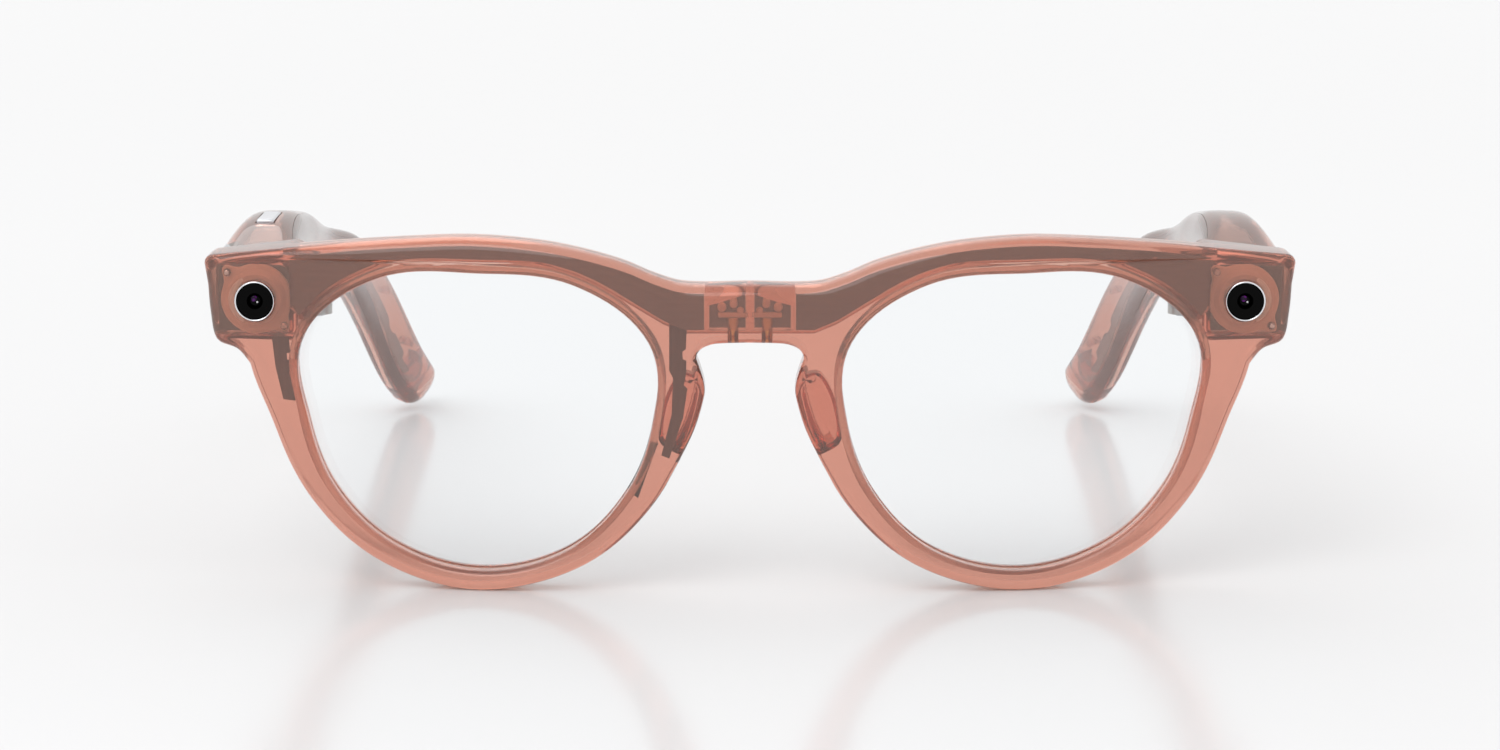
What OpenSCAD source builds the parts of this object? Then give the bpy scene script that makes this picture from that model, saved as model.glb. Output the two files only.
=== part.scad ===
// Smart glasses: translucent front and two folding temples that hold the electronics.
// Millimetres. +X is the wearer's left, the front faces -Y, +Z is up, z = 0 is the table.

/* [Front] */
// Width of one lens
lens_w = 50; // [47:0.5:53]
// Height of the lens's basic oval
lens_h = 42.6; // [40:0.5:45]
// Gap between the two lenses at the bridge
bridge_w = 24; // [22:0.5:27]
// Width of the end piece outside each lens
end_w = 12.6; // [11.5:0.1:14]
// Height of the end piece's block
end_h = 12; // [11.8:0.1:13]
// Width of the end piece's block, which the temple butts
block_w = 13; // [12.8:0.1:13.5]
// Depth of the end piece at its outer edge
end_depth = 7.45; // [7.4:0.05:9]
// Depth of the rims from front to back
rim_t = 6; // [5.6:0.1:7]
// Radius that the front wraps round the face
wrap_r = 330; // [280:10:500]
// Height of the brow above the lens
brow_h = 4.9; // [4.6:0.1:6]
// How far the bridge dips below the brow
bridge_dip = 6.1; // [5:0.1:7]
// Height of the bridge's bar
bridge_h = 7.9; // [7.4:0.1:9]
// Gap between the nose pads
nose_gap = 12.3; // [11:0.1:14]
// How far the nose pads stand behind the rims
pad_out = 4.2; // [3:0.1:5]

/* [Lenses] */
// Thickness of a lens
lens_t = 2; // [1.6:0.1:2.2]
// Depth of the groove that holds the lens
groove = 1.225; // [1:0.025:1.4]
// How far the groove lies behind the front face
groove_in = 2.2; // [2:0.1:2.6]

/* [Housing] */
// Solid wall round the brow's channel
brow_wall = 1.6; // [1.4:0.05:1.7]
// Front wall of the brow's channel
front_wall = 2.2; // [1.8:0.1:2.6]
// Front wall of the end piece's pocket
pocket_wall = 1.2; // [1:0.1:1.5]
// Side walls of the end piece's pocket
side_wall = 1.05; // [0.9:0.05:1.3]
// Thickness of the rear cover and of the end caps
cover_t = 1.2; // [1:0.1:1.4]
// Gap round covers, boards and other set-in pieces
fit_gap = 0.05; // [0.03:0.01:0.08]

/* [Camera and light] */
// Diameter of the ring round the camera and the light
bezel_d = 5.6; // [5.2:0.1:6]
// Diameter of the black window
window_d = 4.9; // [4.5:0.1:5.1]
// Diameter of the round carrier plate
carrier_d = 9.6; // [9:0.1:9.8]
// Distance of the window's centre below the brow's highest point
window_drop = 9.25; // [9:0.05:9.6]
// Distance of the window's centre from the front's outer edge
window_in = 7.1; // [7:0.1:7.4]

/* [Hinges] */
// Diameter of the hinge barrel
barrel_d = 3.8; // [3.4:0.1:4.2]
// Diameter of the hinge pin
pin_d = 1.5; // [1.3:0.1:1.8]
// Height of one knuckle
knuckle_h = 2.2; // [2:0.1:2.4]
// Thickness of the hinge leaves
leaf_t = 1.1; // [1:0.1:1.4]
// Running gap of the hinge
run_gap = 0.05; // [0.03:0.01:0.08]

/* [Temples] */
// Length of a temple behind the butt
temple_len = 130; // [126:0.5:132]
// Greatest height of a temple
temple_h = 15.4; // [14.4:0.1:16.5]
// Height of a temple's tip
tip_h = 9.6; // [9:0.1:10]
// Thickness of a temple's tip
tip_t = 5.4; // [5:0.1:5.6]
// Wall of the temple's outer shell
shell_wall = 1.2; // [1:0.05:1.3]
// Thickness of the temple's inner cover
inner_t = 1.4; // [1.3:0.05:1.6]
// How far the temple's tip leans in
tip_lean = 26; // [22:1:28]

/* [Controls and electronics] */
// Length of the capture button
button_l = 9; // [7:0.5:10]
// Width of the capture button
button_w = 2.6; // [2:0.1:3]
// Travel of the capture button
button_travel = 0.4; // [0.3:0.05:0.5]
// Travel of the power switch's slider
slider_travel = 2; // [1.5:0.1:2.2]
// Length of the battery
battery_l = 32; // [26:1:34]
// Thickness of the battery
battery_t = 4; // [3:0.1:4.2]
// Length of the main circuit board
board_l = 34; // [28:1:36]
// Thickness of the circuit boards
board_t = 0.8; // [0.6:0.1:1]
// Length of a speaker
speaker_l = 15; // [12:0.5:16]
// Diameter of the charging contacts
contact_d = 1.5; // [1.3:0.1:1.7]

/* [Hidden] */
$fn = 48;

// Places worked out from the sizes
lens_x = (lens_w + bridge_w) / 2;
rim_low = 2.75;
lens_z = (lens_h / 2 - groove) * 1.02 + rim_low;
half_w = lens_x + lens_w / 2 + end_w;
open_w = lens_w / 2 - groove;
open_h = lens_h / 2 - groove;
brow_z = lens_z + open_h * 1.022 + brow_h;
window_z = brow_z - window_drop;
butt_y = wrap_y(half_w) + end_depth;
bridge_z = brow_z - bridge_dip;
arch_z = bridge_z - bridge_h;
end_in = half_w - block_w;
end_low = window_z + 0.1 - end_h / 2;
temple_y = butt_y + 0.15;
total_d = temple_y + temple_len;
hinge_x = end_in - fit_gap - barrel_d / 2;
hinge_y = butt_y + 0.1;
hinge_z = window_z + 0.4;
window_x = half_w - window_in;
slot_t = 0.4;
flex_t = 0.3;

// ---- Curves ----

// How far the wrapped face lies behind the bridge
function wrap_y(x) = wrap_r - sqrt(wrap_r * wrap_r - x * x);

// Catmull-Rom value between b and c
function blend4(a, b, c, d, t) =
    0.5 * (2 * b + (c - a) * t + (2 * a - 5 * b + 4 * c - d) * t * t
    + (3 * b - a - 3 * c + d) * t * t * t);

// Value of a closed list of factors, evenly spaced round the circle, at an angle
function round_value(list, angle) =
    let (n = len(list), p = (((angle % 360) + 360) % 360) / 360 * n, i = floor(p))
    blend4(list[(i + n - 1) % n], list[i % n], list[(i + 1) % n], list[(i + 2) % n], p - i);

// Index of the step of a table of [place, value] that holds a place
function step_of(table, s, i = 0) =
    i >= len(table) - 2 || s < table[i + 1][0] ? i : step_of(table, s, i + 1);

// Slope of the table at one of its rows
function row_slope(table, i) =
    let (a = max(i - 1, 0), b = min(i + 1, len(table) - 1))
    (table[b][1] - table[a][1]) / (table[b][0] - table[a][0]);

// Smooth value of a table of [place, value] rows at a place
function along(table, s) =
    let (i = step_of(table, s), a = table[i], b = table[i + 1], w = b[0] - a[0], t = (s - a[0]) / w,
         ma = row_slope(table, i) * w, mb = row_slope(table, i + 1) * w)
    a[1] * (1 + 2 * t) * (1 - t) * (1 - t) + ma * t * (1 - t) * (1 - t)
    + b[1] * t * t * (3 - 2 * t) + mb * t * t * (t - 1);

// ---- Front outline ----

// Shape of the lens: how far its edge lies out at every 30 degrees, from the nose over the top
lens_form = [0.999, 1.129, 1.098, 1.022, 1.127, 1.155, 0.986, 0.96, 0.989, 1.02, 1.007, 0.969];

// Point of the opening's edge at an angle, moved outwards by grow
function lens_edge(angle, grow = 0) =
    let (k = round_value(lens_form, angle))
    [lens_x - (open_w * k + grow) * cos(angle), lens_z + (open_h * k + grow) * sin(angle)];

// Width of the rim from the temple side, under the lens, to the nose
rim_widths = [[165, 7.05], [180, 5.2], [195, 4.3], [210, 3.7], [225, 3.35], [240, 3.05], [255, 2.85],
    [270, rim_low], [285, 2.65], [300, 2.85], [315, 3.3], [330, 3.85], [345, 4.5]];

// Drop of the brow's top edge below its highest point, from the bridge to the end piece
brow_drops = [[0, bridge_dip], [0.12, bridge_dip], [0.175, bridge_dip - 1.15], [0.228, bridge_dip - 2.8],
    [0.31, 1.6], [0.39, 0.57], [0.5, 0], [0.6, 0.27], [0.745, 1.1], [0.85, 1.93], [1, 3.2]];

function brow_top(x) = brow_z - along(brow_drops, min(abs(x) / half_w, 1));

// Nose cut-out from the pads up to the middle of the arch: [outwards, below the arch]
function nose_points() = [
    [nose_gap / 2 + 3.4, arch_z - 16.2], [nose_gap / 2 + 1.4, arch_z - 12],
    [nose_gap / 2 + 0.14, arch_z - 7.8], [nose_gap / 2, arch_z - 5.8],
    [nose_gap / 2 + 0.65, arch_z - 3.45], [nose_gap / 2 + 1.07, arch_z - 2.1],
    [nose_gap / 2 + 0.66, arch_z - 1.1], [nose_gap / 2 - 0.4, arch_z - 0.45],
    [nose_gap / 2 - 2, arch_z - 0.12], [0, arch_z]];

// Points on a smooth curve through a list of points
function through(points, steps = 4) = [
    for (i = [0 : len(points) - 2])
        let (a = points[max(i - 1, 0)], b = points[i], c = points[i + 1],
             d = points[min(i + 2, len(points) - 1)])
        for (k = [0 : steps - 1]) blend4(a, b, c, d, k / steps)];

// Half of the outline: brow, end piece, rim and nose
corner_r = 1.2;
function half_outline() = concat(
    [for (i = [0 : 30]) let (x = (half_w - corner_r) * i / 30) [x, brow_top(x)]],
    [for (a = [60, 30, 0]) [half_w - corner_r * (1 - cos(a)), brow_top(half_w)
        - corner_r * (1 - sin(a)) + 0.1]],
    through([[half_w - 0.45, window_z + 2], [half_w - 0.7, window_z - 1.6], [half_w - 1.5,
        end_low + 0.4],
        [half_w - 4.4, end_low - 0.9], lens_edge(165, rim_widths[0][1])], 3),
    [for (a = [165 : 6 : 339]) lens_edge(a, along(rim_widths, a))],
    through(nose_points(), 4));

function mirrored(points) = concat(points,
    [for (i = [len(points) - 1 : -1 : 0]) if (points[i][0] > 0) [-points[i][0], points[i][1]]]);

// Strip of the brow that keeps a wall to its outline, between the two end pieces
function brow_strip(wall, end_x) = mirrored(concat(
    [for (i = [0 : 24]) let (x = end_x * i / 24) [x, brow_top(x) - wall]],
    [[end_x, window_z - 0.3]],
    [for (a = [146 : -8 : 50]) lens_edge(a, wall + 0.2)],
    [[nose_gap / 2 + 5.5, arch_z + wall + 1.2], [nose_gap / 2 + 2.5, arch_z + wall], [0,
        arch_z + wall]]));

// ---- Helpers for solids ----

// Everything is drawn from the bridge backwards, then centred front to back
module place() translate([0, -total_d / 2, 0]) children();

module on_side(side) mirror([side < 0 ? 1 : 0, 0, 0]) children();

// An outline in X and Z, drawn through a range of Y
module upright(points, from, to)
    translate([0, to, 0]) rotate([90, 0, 0]) linear_extrude(to - from) polygon(points);

// A layer of the wrapped front, between two depths behind its face
module layer(from, to) {
    difference() {
        translate([0, wrap_r, -10]) cylinder(h = brow_z + 20, r = wrap_r - from, $fn = 180);
        translate([0, wrap_r, -11]) cylinder(h = brow_z + 22, r = wrap_r - to, $fn = 180);
    }
}

module sheet(points, from, to) {
    intersection() {
        upright(points, -1, butt_y + pad_out + 10);
        layer(from, to);
    }
}

// A block given by its lowest and highest corners
module block(low, high) translate(low) cube(high - low);

// A pin or hole along Y
module rod_y(x, z, d, from, to) translate([x, to, z]) rotate([90, 0, 0]) cylinder(h = to - from, d = d);

// A pin or hole along X
module rod_x(y, z, d, from, to) translate([from, y, z]) rotate([0, 90, 0]) cylinder(h = to - from,
    d = d);

// ---- Temple form ----

// Middle line and section of a temple, against the share of its length
line_x = [[0, half_w - (block_w - 0.3) / 2], [0.1, half_w - 5.85], [0.22, half_w - 5.7],
    [0.34, half_w - 5.75], [0.5, half_w - 6.2], [0.65, half_w - 8.8], [0.74, half_w - 10], [0.83, half_w - 11.8],
    [0.92, half_w - 14.9], [1, half_w - 17.4]];
line_z = [[0, hinge_z + 0.1], [0.1, hinge_z - 0.3], [0.22, hinge_z - 0.05], [0.34, hinge_z - 0.75],
    [0.5, hinge_z - 4.2], [0.65, hinge_z - 7.7], [0.74, hinge_z - 12.2], [0.83, hinge_z - 19.4],
    [0.92, tip_h / 2 + 4.25], [1, tip_h / 2 - 2.75]];
heights = [[0, end_h - 1], [0.1, temple_h - 0.2], [0.18, temple_h], [0.3, temple_h - 3.2],
    [0.42, temple_h - 5.4], [0.55, temple_h - 7.1], [0.65, tip_h - 1.4], [0.8, tip_h], [1, tip_h]];
widths = [[0, block_w - 0.3], [0.1, 10.6], [0.2, 9.3], [0.34, 8], [0.5, 6.8], [0.65, tip_t + 0.2],
    [0.8, tip_t], [1, tip_t]];
leans = [[0, 0], [0.5, 0], [0.65, tip_lean * 0.18], [0.78, tip_lean * 0.5], [0.9, tip_lean], [1, tip_lean]];
corner_power = 3.6;
cap_l = 4.4;
last_s = 1 - cap_l / temple_len;

function temple_x(s) = along(line_x, s);
function temple_z(s) = along(line_z, s);
function drop_angle(s) = s < 0.01 ? 0 : atan2(temple_z(s - 0.005) - temple_z(s + 0.005),
    0.01 * temple_len);

// Point of a temple at a share of its length, thick across and high up from the middle line,
// and ahead along it
function temple_point(s, across, up, ahead = 0) =
    let (g = drop_angle(s), l = along(leans, s),
         side = across * cos(l) - up * sin(l), rise = across * sin(l) + up * cos(l))
    [temple_x(s) + side, temple_y + s * temple_len + rise * sin(g) + ahead * cos(g),
     temple_z(s) + rise * cos(g) - ahead * sin(g)];

// Stations of a sweep: [share, scale, ahead], with a round end at the tip
function stations(from, to, count, cap) = concat(
    [for (i = [0 : count]) [from + (to - from) * i / count, 1, 0]],
    cap <= 0 ? [] : [for (a = [25, 48, 68, 84]) [to, cos(a), cap * sin(a)]]);

function rounded(c, power) = sign(c) * pow(abs(c), 2 / power);

// Angle at which a section's edge reaches a seam across it
function seam_angle(seam, half) = acos(sign(seam) * pow(min(abs(seam) / half, 1), corner_power / 2));

// Ring of a section: the part of its rounded outline between two seam planes
function section_ring(w, h, low, high, count) =
    let (a = low <= -w ? 180 : seam_angle(low, w), b = high >= w ? 0 : seam_angle(high, w))
    concat(
        [for (i = [0 : count]) let (t = b + (a - b) * i / count)
            [w * rounded(cos(t), corner_power), h * rounded(sin(t), corner_power)]],
        [for (i = [(a == 180 ? count - 1 : count) : -1 : (b == 0 ? 1 : 0)]) let (t = b + (a - b)
            * i / count)
            [w * rounded(cos(t), corner_power), -h * rounded(sin(t), corner_power)]]);

// Closed skin over rings of equal length
module skin(rings) {
    n = len(rings[0]);
    m = len(rings);
    polyhedron(
        points = [for (ring = rings) each ring],
        faces = concat(
            [[for (i = [n - 1 : -1 : 0]) i]],
            [for (j = [0 : m - 2]) for (i = [0 : n - 1]) let (k = (i + 1) % n)
                each [[j * n + i, j * n + k, (j + 1) * n + i], [j * n + k, (j + 1) * n + k, (j + 1)
                    * n + i]]],
            [[for (i = [0 : n - 1]) (m - 1) * n + i]]));
}

// Ring of a temple's section, cut at its seam: the shell lies outside it, the cover inside
function seam_at(s) = inner_t - along(widths, s) / 2;
function placed_ring(st, ring, shift = 0) =
    [for (q = ring) temple_point(st[0], q[0] * st[1] + shift, q[1] * st[1], st[2])];
function shell_ring(st) = let (s = st[0], w = along(widths, s) / 2, h = along(heights, s) / 2)
    placed_ring(st, section_ring(w, h, seam_at(s), w, 9));
function cover_ring(st) = let (s = st[0], w = along(widths, s) / 2, h = along(heights, s) / 2)
    placed_ring(st, section_ring(w, h, -w, seam_at(s) - fit_gap, 6));
function hollow_ring(st) =
    let (s = st[0], w = along(widths, s) / 2, h = along(heights, s) / 2, reach = 1)
    placed_ring(st, section_ring(w + (reach - shell_wall) / 2, h - shell_wall, -2 * w, 2 * w, 7),
        -(shell_wall + reach) / 2);
function core_ring(st, thick, high) =
    placed_ring(st, [[thick / 2, -high / 2], [thick / 2, high / 2], [-thick / 2, high / 2],
        [-thick / 2, -high / 2]], 0.1);

end_wall = 1.3 / temple_len;
steps = 24;
hollow_end = last_s - 0.035;
core_from = 0.6;
core_h = 3.6;
core_t = 0.7;

// A place inside a temple, turned with its slope
module in_temple(s) translate(temple_point(s, 0, 0)) rotate([-drop_angle(s), 0, 0]) children();

// A block about the middle of such a place: [across, along, up] sizes, and a shift
module chip(size, shift = [0, 0, 0]) translate(shift - size / 2) cube(size);

module temple_outer() {
    difference() {
        skin([for (st = stations(0, last_s, steps, cap_l)) shell_ring(st)]);
        skin([for (st = stations(end_wall, hollow_end, steps - 2, 0)) hollow_ring(st)]);
    }
}

module temple_inner() skin([for (st = stations(0, last_s, steps, cap_l)) cover_ring(st)]);

module tip_core() skin([for (st = stations(core_from, hollow_end - 0.01, 10, 0)) core_ring(st,
    core_t, core_h)]);

// ---- Camera and light stacks ----

window_y = wrap_y(window_x);
carrier_y = wrap_y(window_x + carrier_d / 2) + pocket_wall + 0.15;
carrier_t = 1;
ear_x = 3.8;
ear_z = 3.7;
ear_d = 2;
screw_d = 0.9;
bezel_out = 0.3;
window_t = 1.2;
gasket_t = 0.5;
base_w = 6.4;
base_t = 3.2;

// The two ears of a carrier lie top left and bottom right on both sides
module ears(side) for (k = [-1, 1]) translate([window_x + k * ear_x, 0,
    window_z - k * side * ear_z]) children();

module bezel() difference() {
    rod_y(window_x, window_z, bezel_d, window_y - bezel_out, carrier_y - fit_gap);
    rod_y(window_x, window_z, window_d + 2 * fit_gap, window_y - 1, carrier_y + 1);
}

module window_disc() rod_y(window_x, window_z, window_d, window_y - bezel_out / 2,
    window_y + window_t - bezel_out / 2);

module gasket_ring() difference() {
    rod_y(window_x, window_z, window_d - 0.1, window_y + window_t - 0.1,
        window_y + window_t + gasket_t - 0.1);
    rod_y(window_x, window_z, window_d - 1.5, window_y, window_y + 3);
}

module carrier(side) difference() {
    union() {
        rod_y(window_x, window_z, carrier_d, carrier_y, carrier_y + carrier_t);
        ears(side) rod_y(0, 0, ear_d, carrier_y, carrier_y + carrier_t);
    }
    rod_y(window_x, window_z, window_d - 0.1, carrier_y - 1, carrier_y + 2);
    ears(side) rod_y(0, 0, screw_d + 0.1, carrier_y - 1, carrier_y + 2);
}

// Barrel behind the window, and the square sensor or lamp behind the carrier
module optics(barrel) {
    from = window_y + window_t + gasket_t - 0.05;
    base_y = carrier_y + carrier_t + fit_gap;
    rod_y(window_x, window_z, barrel, from, base_y + 0.5);
    block([window_x - base_w / 2, base_y, window_z - base_w / 2],
        [window_x + base_w / 2, base_y + base_t, window_z + base_w / 2]);
}

// ---- Front pieces ----

peach = "#CF8E7A";
strip_end = end_in + 1.9;
rebate = brow_wall - 0.7;
pocket_low = [end_in + side_wall, 0, end_low + side_wall];
pocket_high = [half_w - side_wall, butt_y + 1, brow_top(half_w) - side_wall];
cap_lip = 0.4;
slot_in = 4.2;
contact_x = 2.3;
contact_y = (front_wall + rim_t - cover_t) / 2;
contact_l = 3.2;
seat_w = 4.2;
rim_in = bridge_w / 2;
plate_x = end_in - fit_gap - leaf_t;
leaf_reach = 4;
leaf_y = butt_y - leaf_reach;
knuckles_h = 3 * knuckle_h + 2 * run_gap;

pad_points = [[nose_gap / 2 + 3.9, arch_z - 16], [nose_gap / 2 + 1.8, arch_z - 11.8],
    [nose_gap / 2 + 0.6, arch_z - 7.8], [nose_gap / 2 + 0.5, arch_z - 5.4], [nose_gap / 2 + 3.4,
        arch_z - 4.6],
    [nose_gap / 2 + 5.6, arch_z - 8.4], [nose_gap / 2 + 6.4, arch_z - 14]];

nose_strip = [[rim_in - 3.6, arch_z + 3], [rim_in - 3.4, arch_z - 4.6], [rim_in - 3, arch_z - 10.6],
    [rim_in - 1.1, arch_z - 16.4], [rim_in + 0.1, arch_z - 15.9], [rim_in - 1.4, arch_z - 10.2],
    [rim_in - 1.8, arch_z - 4.6], [rim_in - 2, arch_z + 3]];

nose_bar = [[rim_in + 0.4, arch_z - 14.2], [rim_in + 3.2, arch_z - 22], [rim_in + 4.5, arch_z - 21],
    [rim_in + 1.6, arch_z - 14]];

side_strip = [[end_in + 1.3, end_low + 0.8], [end_in + 1.1, end_low - 3.5], [end_in + 0.4, end_low - 8.3],
    [end_in + 2.3, end_low - 8.1], [end_in + 3.3, end_low - 3.5], [end_in + 3.9, end_low + 0.8]];

// A closed outline, listed anticlockwise, with its sides moved outwards
function wider(points, by) = let (n = len(points)) [
    for (i = [0 : n - 1])
        let (a = points[(i + n - 1) % n], b = points[i], c = points[(i + 1) % n],
             u = (b - a) / norm(b - a), v = (c - b) / norm(c - b))
        b + by * [u[1] + v[1], -u[0] - v[0]] / (1 + u * v)];

module screw_holes_front(d) for (k = [-1, 1])
    rod_x(leaf_y + 1.25, hinge_z + k * knuckle_h, d, end_in - 3, end_in + side_wall - 0.1);

module front_solid() {
    outline = mirrored(half_outline());
    sheet(outline, 0, rim_t);
    for (side = [-1, 1]) on_side(side) {
        intersection() {
            upright(half_outline(), -1, butt_y);
            layer(0.5, butt_y);
            block([end_in, 0, end_low], [half_w + 1, butt_y, brow_z + 5]);
        }
        sheet(pad_points, rim_t - 0.5, rim_t + pad_out);
    }
}

module boss_pair(side) intersection() {
    ears(side) rod_y(0, 0, ear_d, 0, carrier_y - fit_gap);
    layer(pocket_wall / 2, butt_y);
}

module front_shell() color(peach) place() difference() {
    union() {
        difference() {
            front_solid();
            for (side = [-1, 1]) on_side(side) {
                intersection() {
                    block(pocket_low, pocket_high);
                    layer(pocket_wall, butt_y);
                }
                block([pocket_low[0] - cap_lip, butt_y - cover_t, pocket_low[2] - cap_lip],
                    [pocket_high[0] + cap_lip, butt_y + 1, pocket_high[2] + cap_lip]);
            }
        }
        for (side = [-1, 1]) on_side(side) boss_pair(side);
    }
    for (side = [-1, 1]) on_side(side) {
        upright([for (a = [0 : 5 : 355]) lens_edge(a)], -1, butt_y + pad_out);
        sheet([for (a = [0 : 5 : 355]) lens_edge(a, groove)], groove_in,
            groove_in + lens_t + 2 * fit_gap);
        rod_y(window_x, window_z, bezel_d + 2 * fit_gap, 0, window_y + pocket_wall + 0.6);
        ears(side) rod_y(0, 0, screw_d + 0.04, window_y + 1.2, carrier_y + 1);
        screw_holes_front(screw_d + 0.04);
        translate([contact_x, contact_y, arch_z - 1]) cylinder(h = brow_wall + 2,
            d = contact_d + 2 * fit_gap);
    }
    sheet(brow_strip(brow_wall, strip_end), front_wall, rim_t + 1);
    sheet(brow_strip(rebate, end_in), rim_t - cover_t, rim_t + 1);
    on_side(-1) {
        sheet(nose_strip, slot_in, slot_in + slot_t);
        sheet(wider(nose_bar, fit_gap), slot_in, rim_t + 1);
        sheet(side_strip, slot_in, slot_in + slot_t);
    }
}

module rear_cover() color("#C98873") place()
    sheet(brow_strip(rebate + fit_gap, end_in - fit_gap), rim_t - cover_t + 0.02, rim_t);

module end_cap() {
    block([pocket_low[0] - cap_lip + fit_gap, butt_y - cover_t + 0.02,
        pocket_low[2] - cap_lip + fit_gap],
        [pocket_high[0] + cap_lip - fit_gap, butt_y, pocket_high[2] + cap_lip - fit_gap]);
}
module left_end_cap() color("#C98873") place() end_cap();
module right_end_cap() color("#C98873") place() on_side(-1) end_cap();

module lens() sheet([for (a = [0 : 5 : 355]) lens_edge(a, groove - fit_gap)],
    groove_in + fit_gap, groove_in + fit_gap + lens_t);
module left_lens() color("#F2F6F8", 0.3) place() lens();
module right_lens() color("#F2F6F8", 0.3) place() on_side(-1) lens();

module camera_bezel() color("#E8E8EA") place() bezel();
module camera_window() color("#08080A") place() window_disc();
module camera_gasket() color("#202020") place() gasket_ring();
module camera_carrier() color("#C9A08C") place() carrier(1);
module camera_module() color("#3A3A3C") place() optics(window_d - 0.6);
module light_bezel() color("#E8E8EA") place() on_side(-1) bezel();
module light_window() color("#08080A") place() on_side(-1) window_disc();
module light_gasket() color("#202020") place() on_side(-1) gasket_ring();
module light_carrier() color("#C9A08C") place() on_side(-1) carrier(-1);
module light_module() color("#DADADA") place() on_side(-1) optics(window_d - 1);

module carrier_screws() color("#B8B8B8") place() for (side = [-1, 1]) on_side(side) ears(side) {
    rod_y(0, 0, screw_d, window_y + 1.3, carrier_y + carrier_t + 0.2);
    rod_y(0, 0, 1.7, carrier_y + carrier_t + 0.02, carrier_y + carrier_t + 0.5);
}

module brow_flex() color("#82695F") place()
    sheet(brow_strip(brow_wall + 0.1, strip_end - 0.9), front_wall + fit_gap,
        front_wall + fit_gap + flex_t);
module side_antenna() color("#83706A") place() on_side(-1)
    sheet(wider(side_strip, -0.06), slot_in + fit_gap, slot_in + fit_gap + flex_t);
module nose_flex() color("#8A7468") place() on_side(-1)
    sheet(wider(nose_strip, -0.06), slot_in + fit_gap, slot_in + fit_gap + flex_t);
module nose_microphone() color("#5E4C45") place() on_side(-1)
    sheet(nose_bar, slot_in + fit_gap, rim_t - fit_gap);

module charging_contacts() color("#D8B468") place() for (k = [-1, 1])
    translate([k * contact_x, contact_y, arch_z]) cylinder(h = contact_l, d = contact_d);
module contact_carrier() color("#B58070") place() for (k = [-1, 1])
    block([k * contact_x - seat_w / 2, contact_y - 0.8, arch_z + contact_l + fit_gap],
        [k * contact_x + seat_w / 2, contact_y + 0.8, arch_z + contact_l + 2]);

// ---- Hinges ----

module knuckle(from, to) translate([hinge_x, hinge_y, from]) cylinder(h = to - from, d = barrel_d);
module pin_bore() translate([hinge_x, hinge_y, hinge_z - knuckles_h])
    cylinder(h = 2 * knuckles_h, d = pin_d + 2 * run_gap);

module front_leaf() difference() {
    union() {
        for (k = [-1, 1]) translate([0, 0, k * (knuckle_h + run_gap)])
            knuckle(hinge_z - knuckle_h / 2, hinge_z + knuckle_h / 2);
        block([plate_x, leaf_y, hinge_z - knuckles_h / 2], [plate_x + leaf_t, hinge_y,
            hinge_z + knuckles_h / 2]);
    }
    block([plate_x - 4, hinge_y - barrel_d / 2 - 0.15, hinge_z - knuckle_h / 2 - run_gap],
        [end_in + 1, hinge_y + 3, hinge_z + knuckle_h / 2 + run_gap]);
    pin_bore();
    screw_holes_front(screw_d + 0.04);
}

leaf_back = hinge_y + barrel_d / 2 + 0.3;
leaf_l = 7.2;
leaf_screws = [leaf_back + 1.9, leaf_back + 5.3];
module temple_leaf() difference() {
    union() {
        knuckle(hinge_z - knuckle_h / 2, hinge_z + knuckle_h / 2);
        block([plate_x, hinge_y, hinge_z - knuckle_h / 2], [plate_x + leaf_t, leaf_back + 0.1,
            hinge_z + knuckle_h / 2]);
        block([plate_x, leaf_back, hinge_z - knuckles_h / 2],
            [plate_x + leaf_t, leaf_back + leaf_l, hinge_z + knuckles_h / 2]);
    }
    pin_bore();
    for (y = leaf_screws) rod_x(y, hinge_z, screw_d + 0.04, end_in - 3, end_in + 1);
}

module hinge_pin() translate([hinge_x, hinge_y, 0]) {
    translate([0, 0, hinge_z - knuckles_h / 2 - 0.3]) cylinder(h = knuckles_h + 0.35, d = pin_d);
    translate([0, 0, hinge_z + knuckles_h / 2 + 0.03]) cylinder(h = 0.5, d = pin_d + 1.1);
}

module leaf_screw(y, z, reach) {
    rod_x(y, z, screw_d, plate_x - 0.2, plate_x + leaf_t + reach);
    rod_x(y, z, 1.6, plate_x - 0.5, plate_x - 0.02);
}

module left_front_hinge() color("#B9B4B0") place() front_leaf();
module right_front_hinge() color("#B9B4B0") place() on_side(-1) front_leaf();
module left_temple_hinge() color("#B9B4B0") place() temple_leaf();
module right_temple_hinge() color("#B9B4B0") place() on_side(-1) temple_leaf();
module left_hinge_pin() color("#D0D0D0") place() hinge_pin();
module right_hinge_pin() color("#D0D0D0") place() on_side(-1) hinge_pin();
module front_hinge_screws() color("#C4C4C4") place() for (side = [-1, 1]) on_side(side) for (k = [-1, 1])
    leaf_screw(leaf_y + 1.25, hinge_z + k * knuckle_h, side_wall - 0.2);
module temple_screws() for (y = leaf_screws) leaf_screw(y, hinge_z, 1.6);
module left_hinge_screws() color("#C4C4C4") place() temple_screws();
module right_hinge_screws() color("#C4C4C4") place() on_side(-1) temple_screws();

// ---- Temple housings ----

pad_x = end_in + 0.02;
pad_depth = 2.6;
module cover_body() difference() {
    union() {
        temple_inner();
        block([pad_x, leaf_back, hinge_z - knuckles_h / 2],
            [pad_x + pad_depth, leaf_back + leaf_l, hinge_z + knuckles_h / 2]);
    }
    for (y = leaf_screws) rod_x(y, hinge_z, screw_d + 0.04, end_in - 1, pad_x + 1.7);
}

slider_s = 0.15;
slider_l = 4;
slider_h = 2.2;
button_s = 0.14;
button_gap = 0.1;
post_d = 2.4;
button_top = temple_z(button_s) + along(heights, button_s) / 2;
button_y = temple_y + button_s * temple_len;
slider_y = temple_y + slider_s * temple_len;
slider_x = temple_x(slider_s) - along(widths, slider_s) / 2;
slider_z = temple_z(slider_s);

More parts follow.
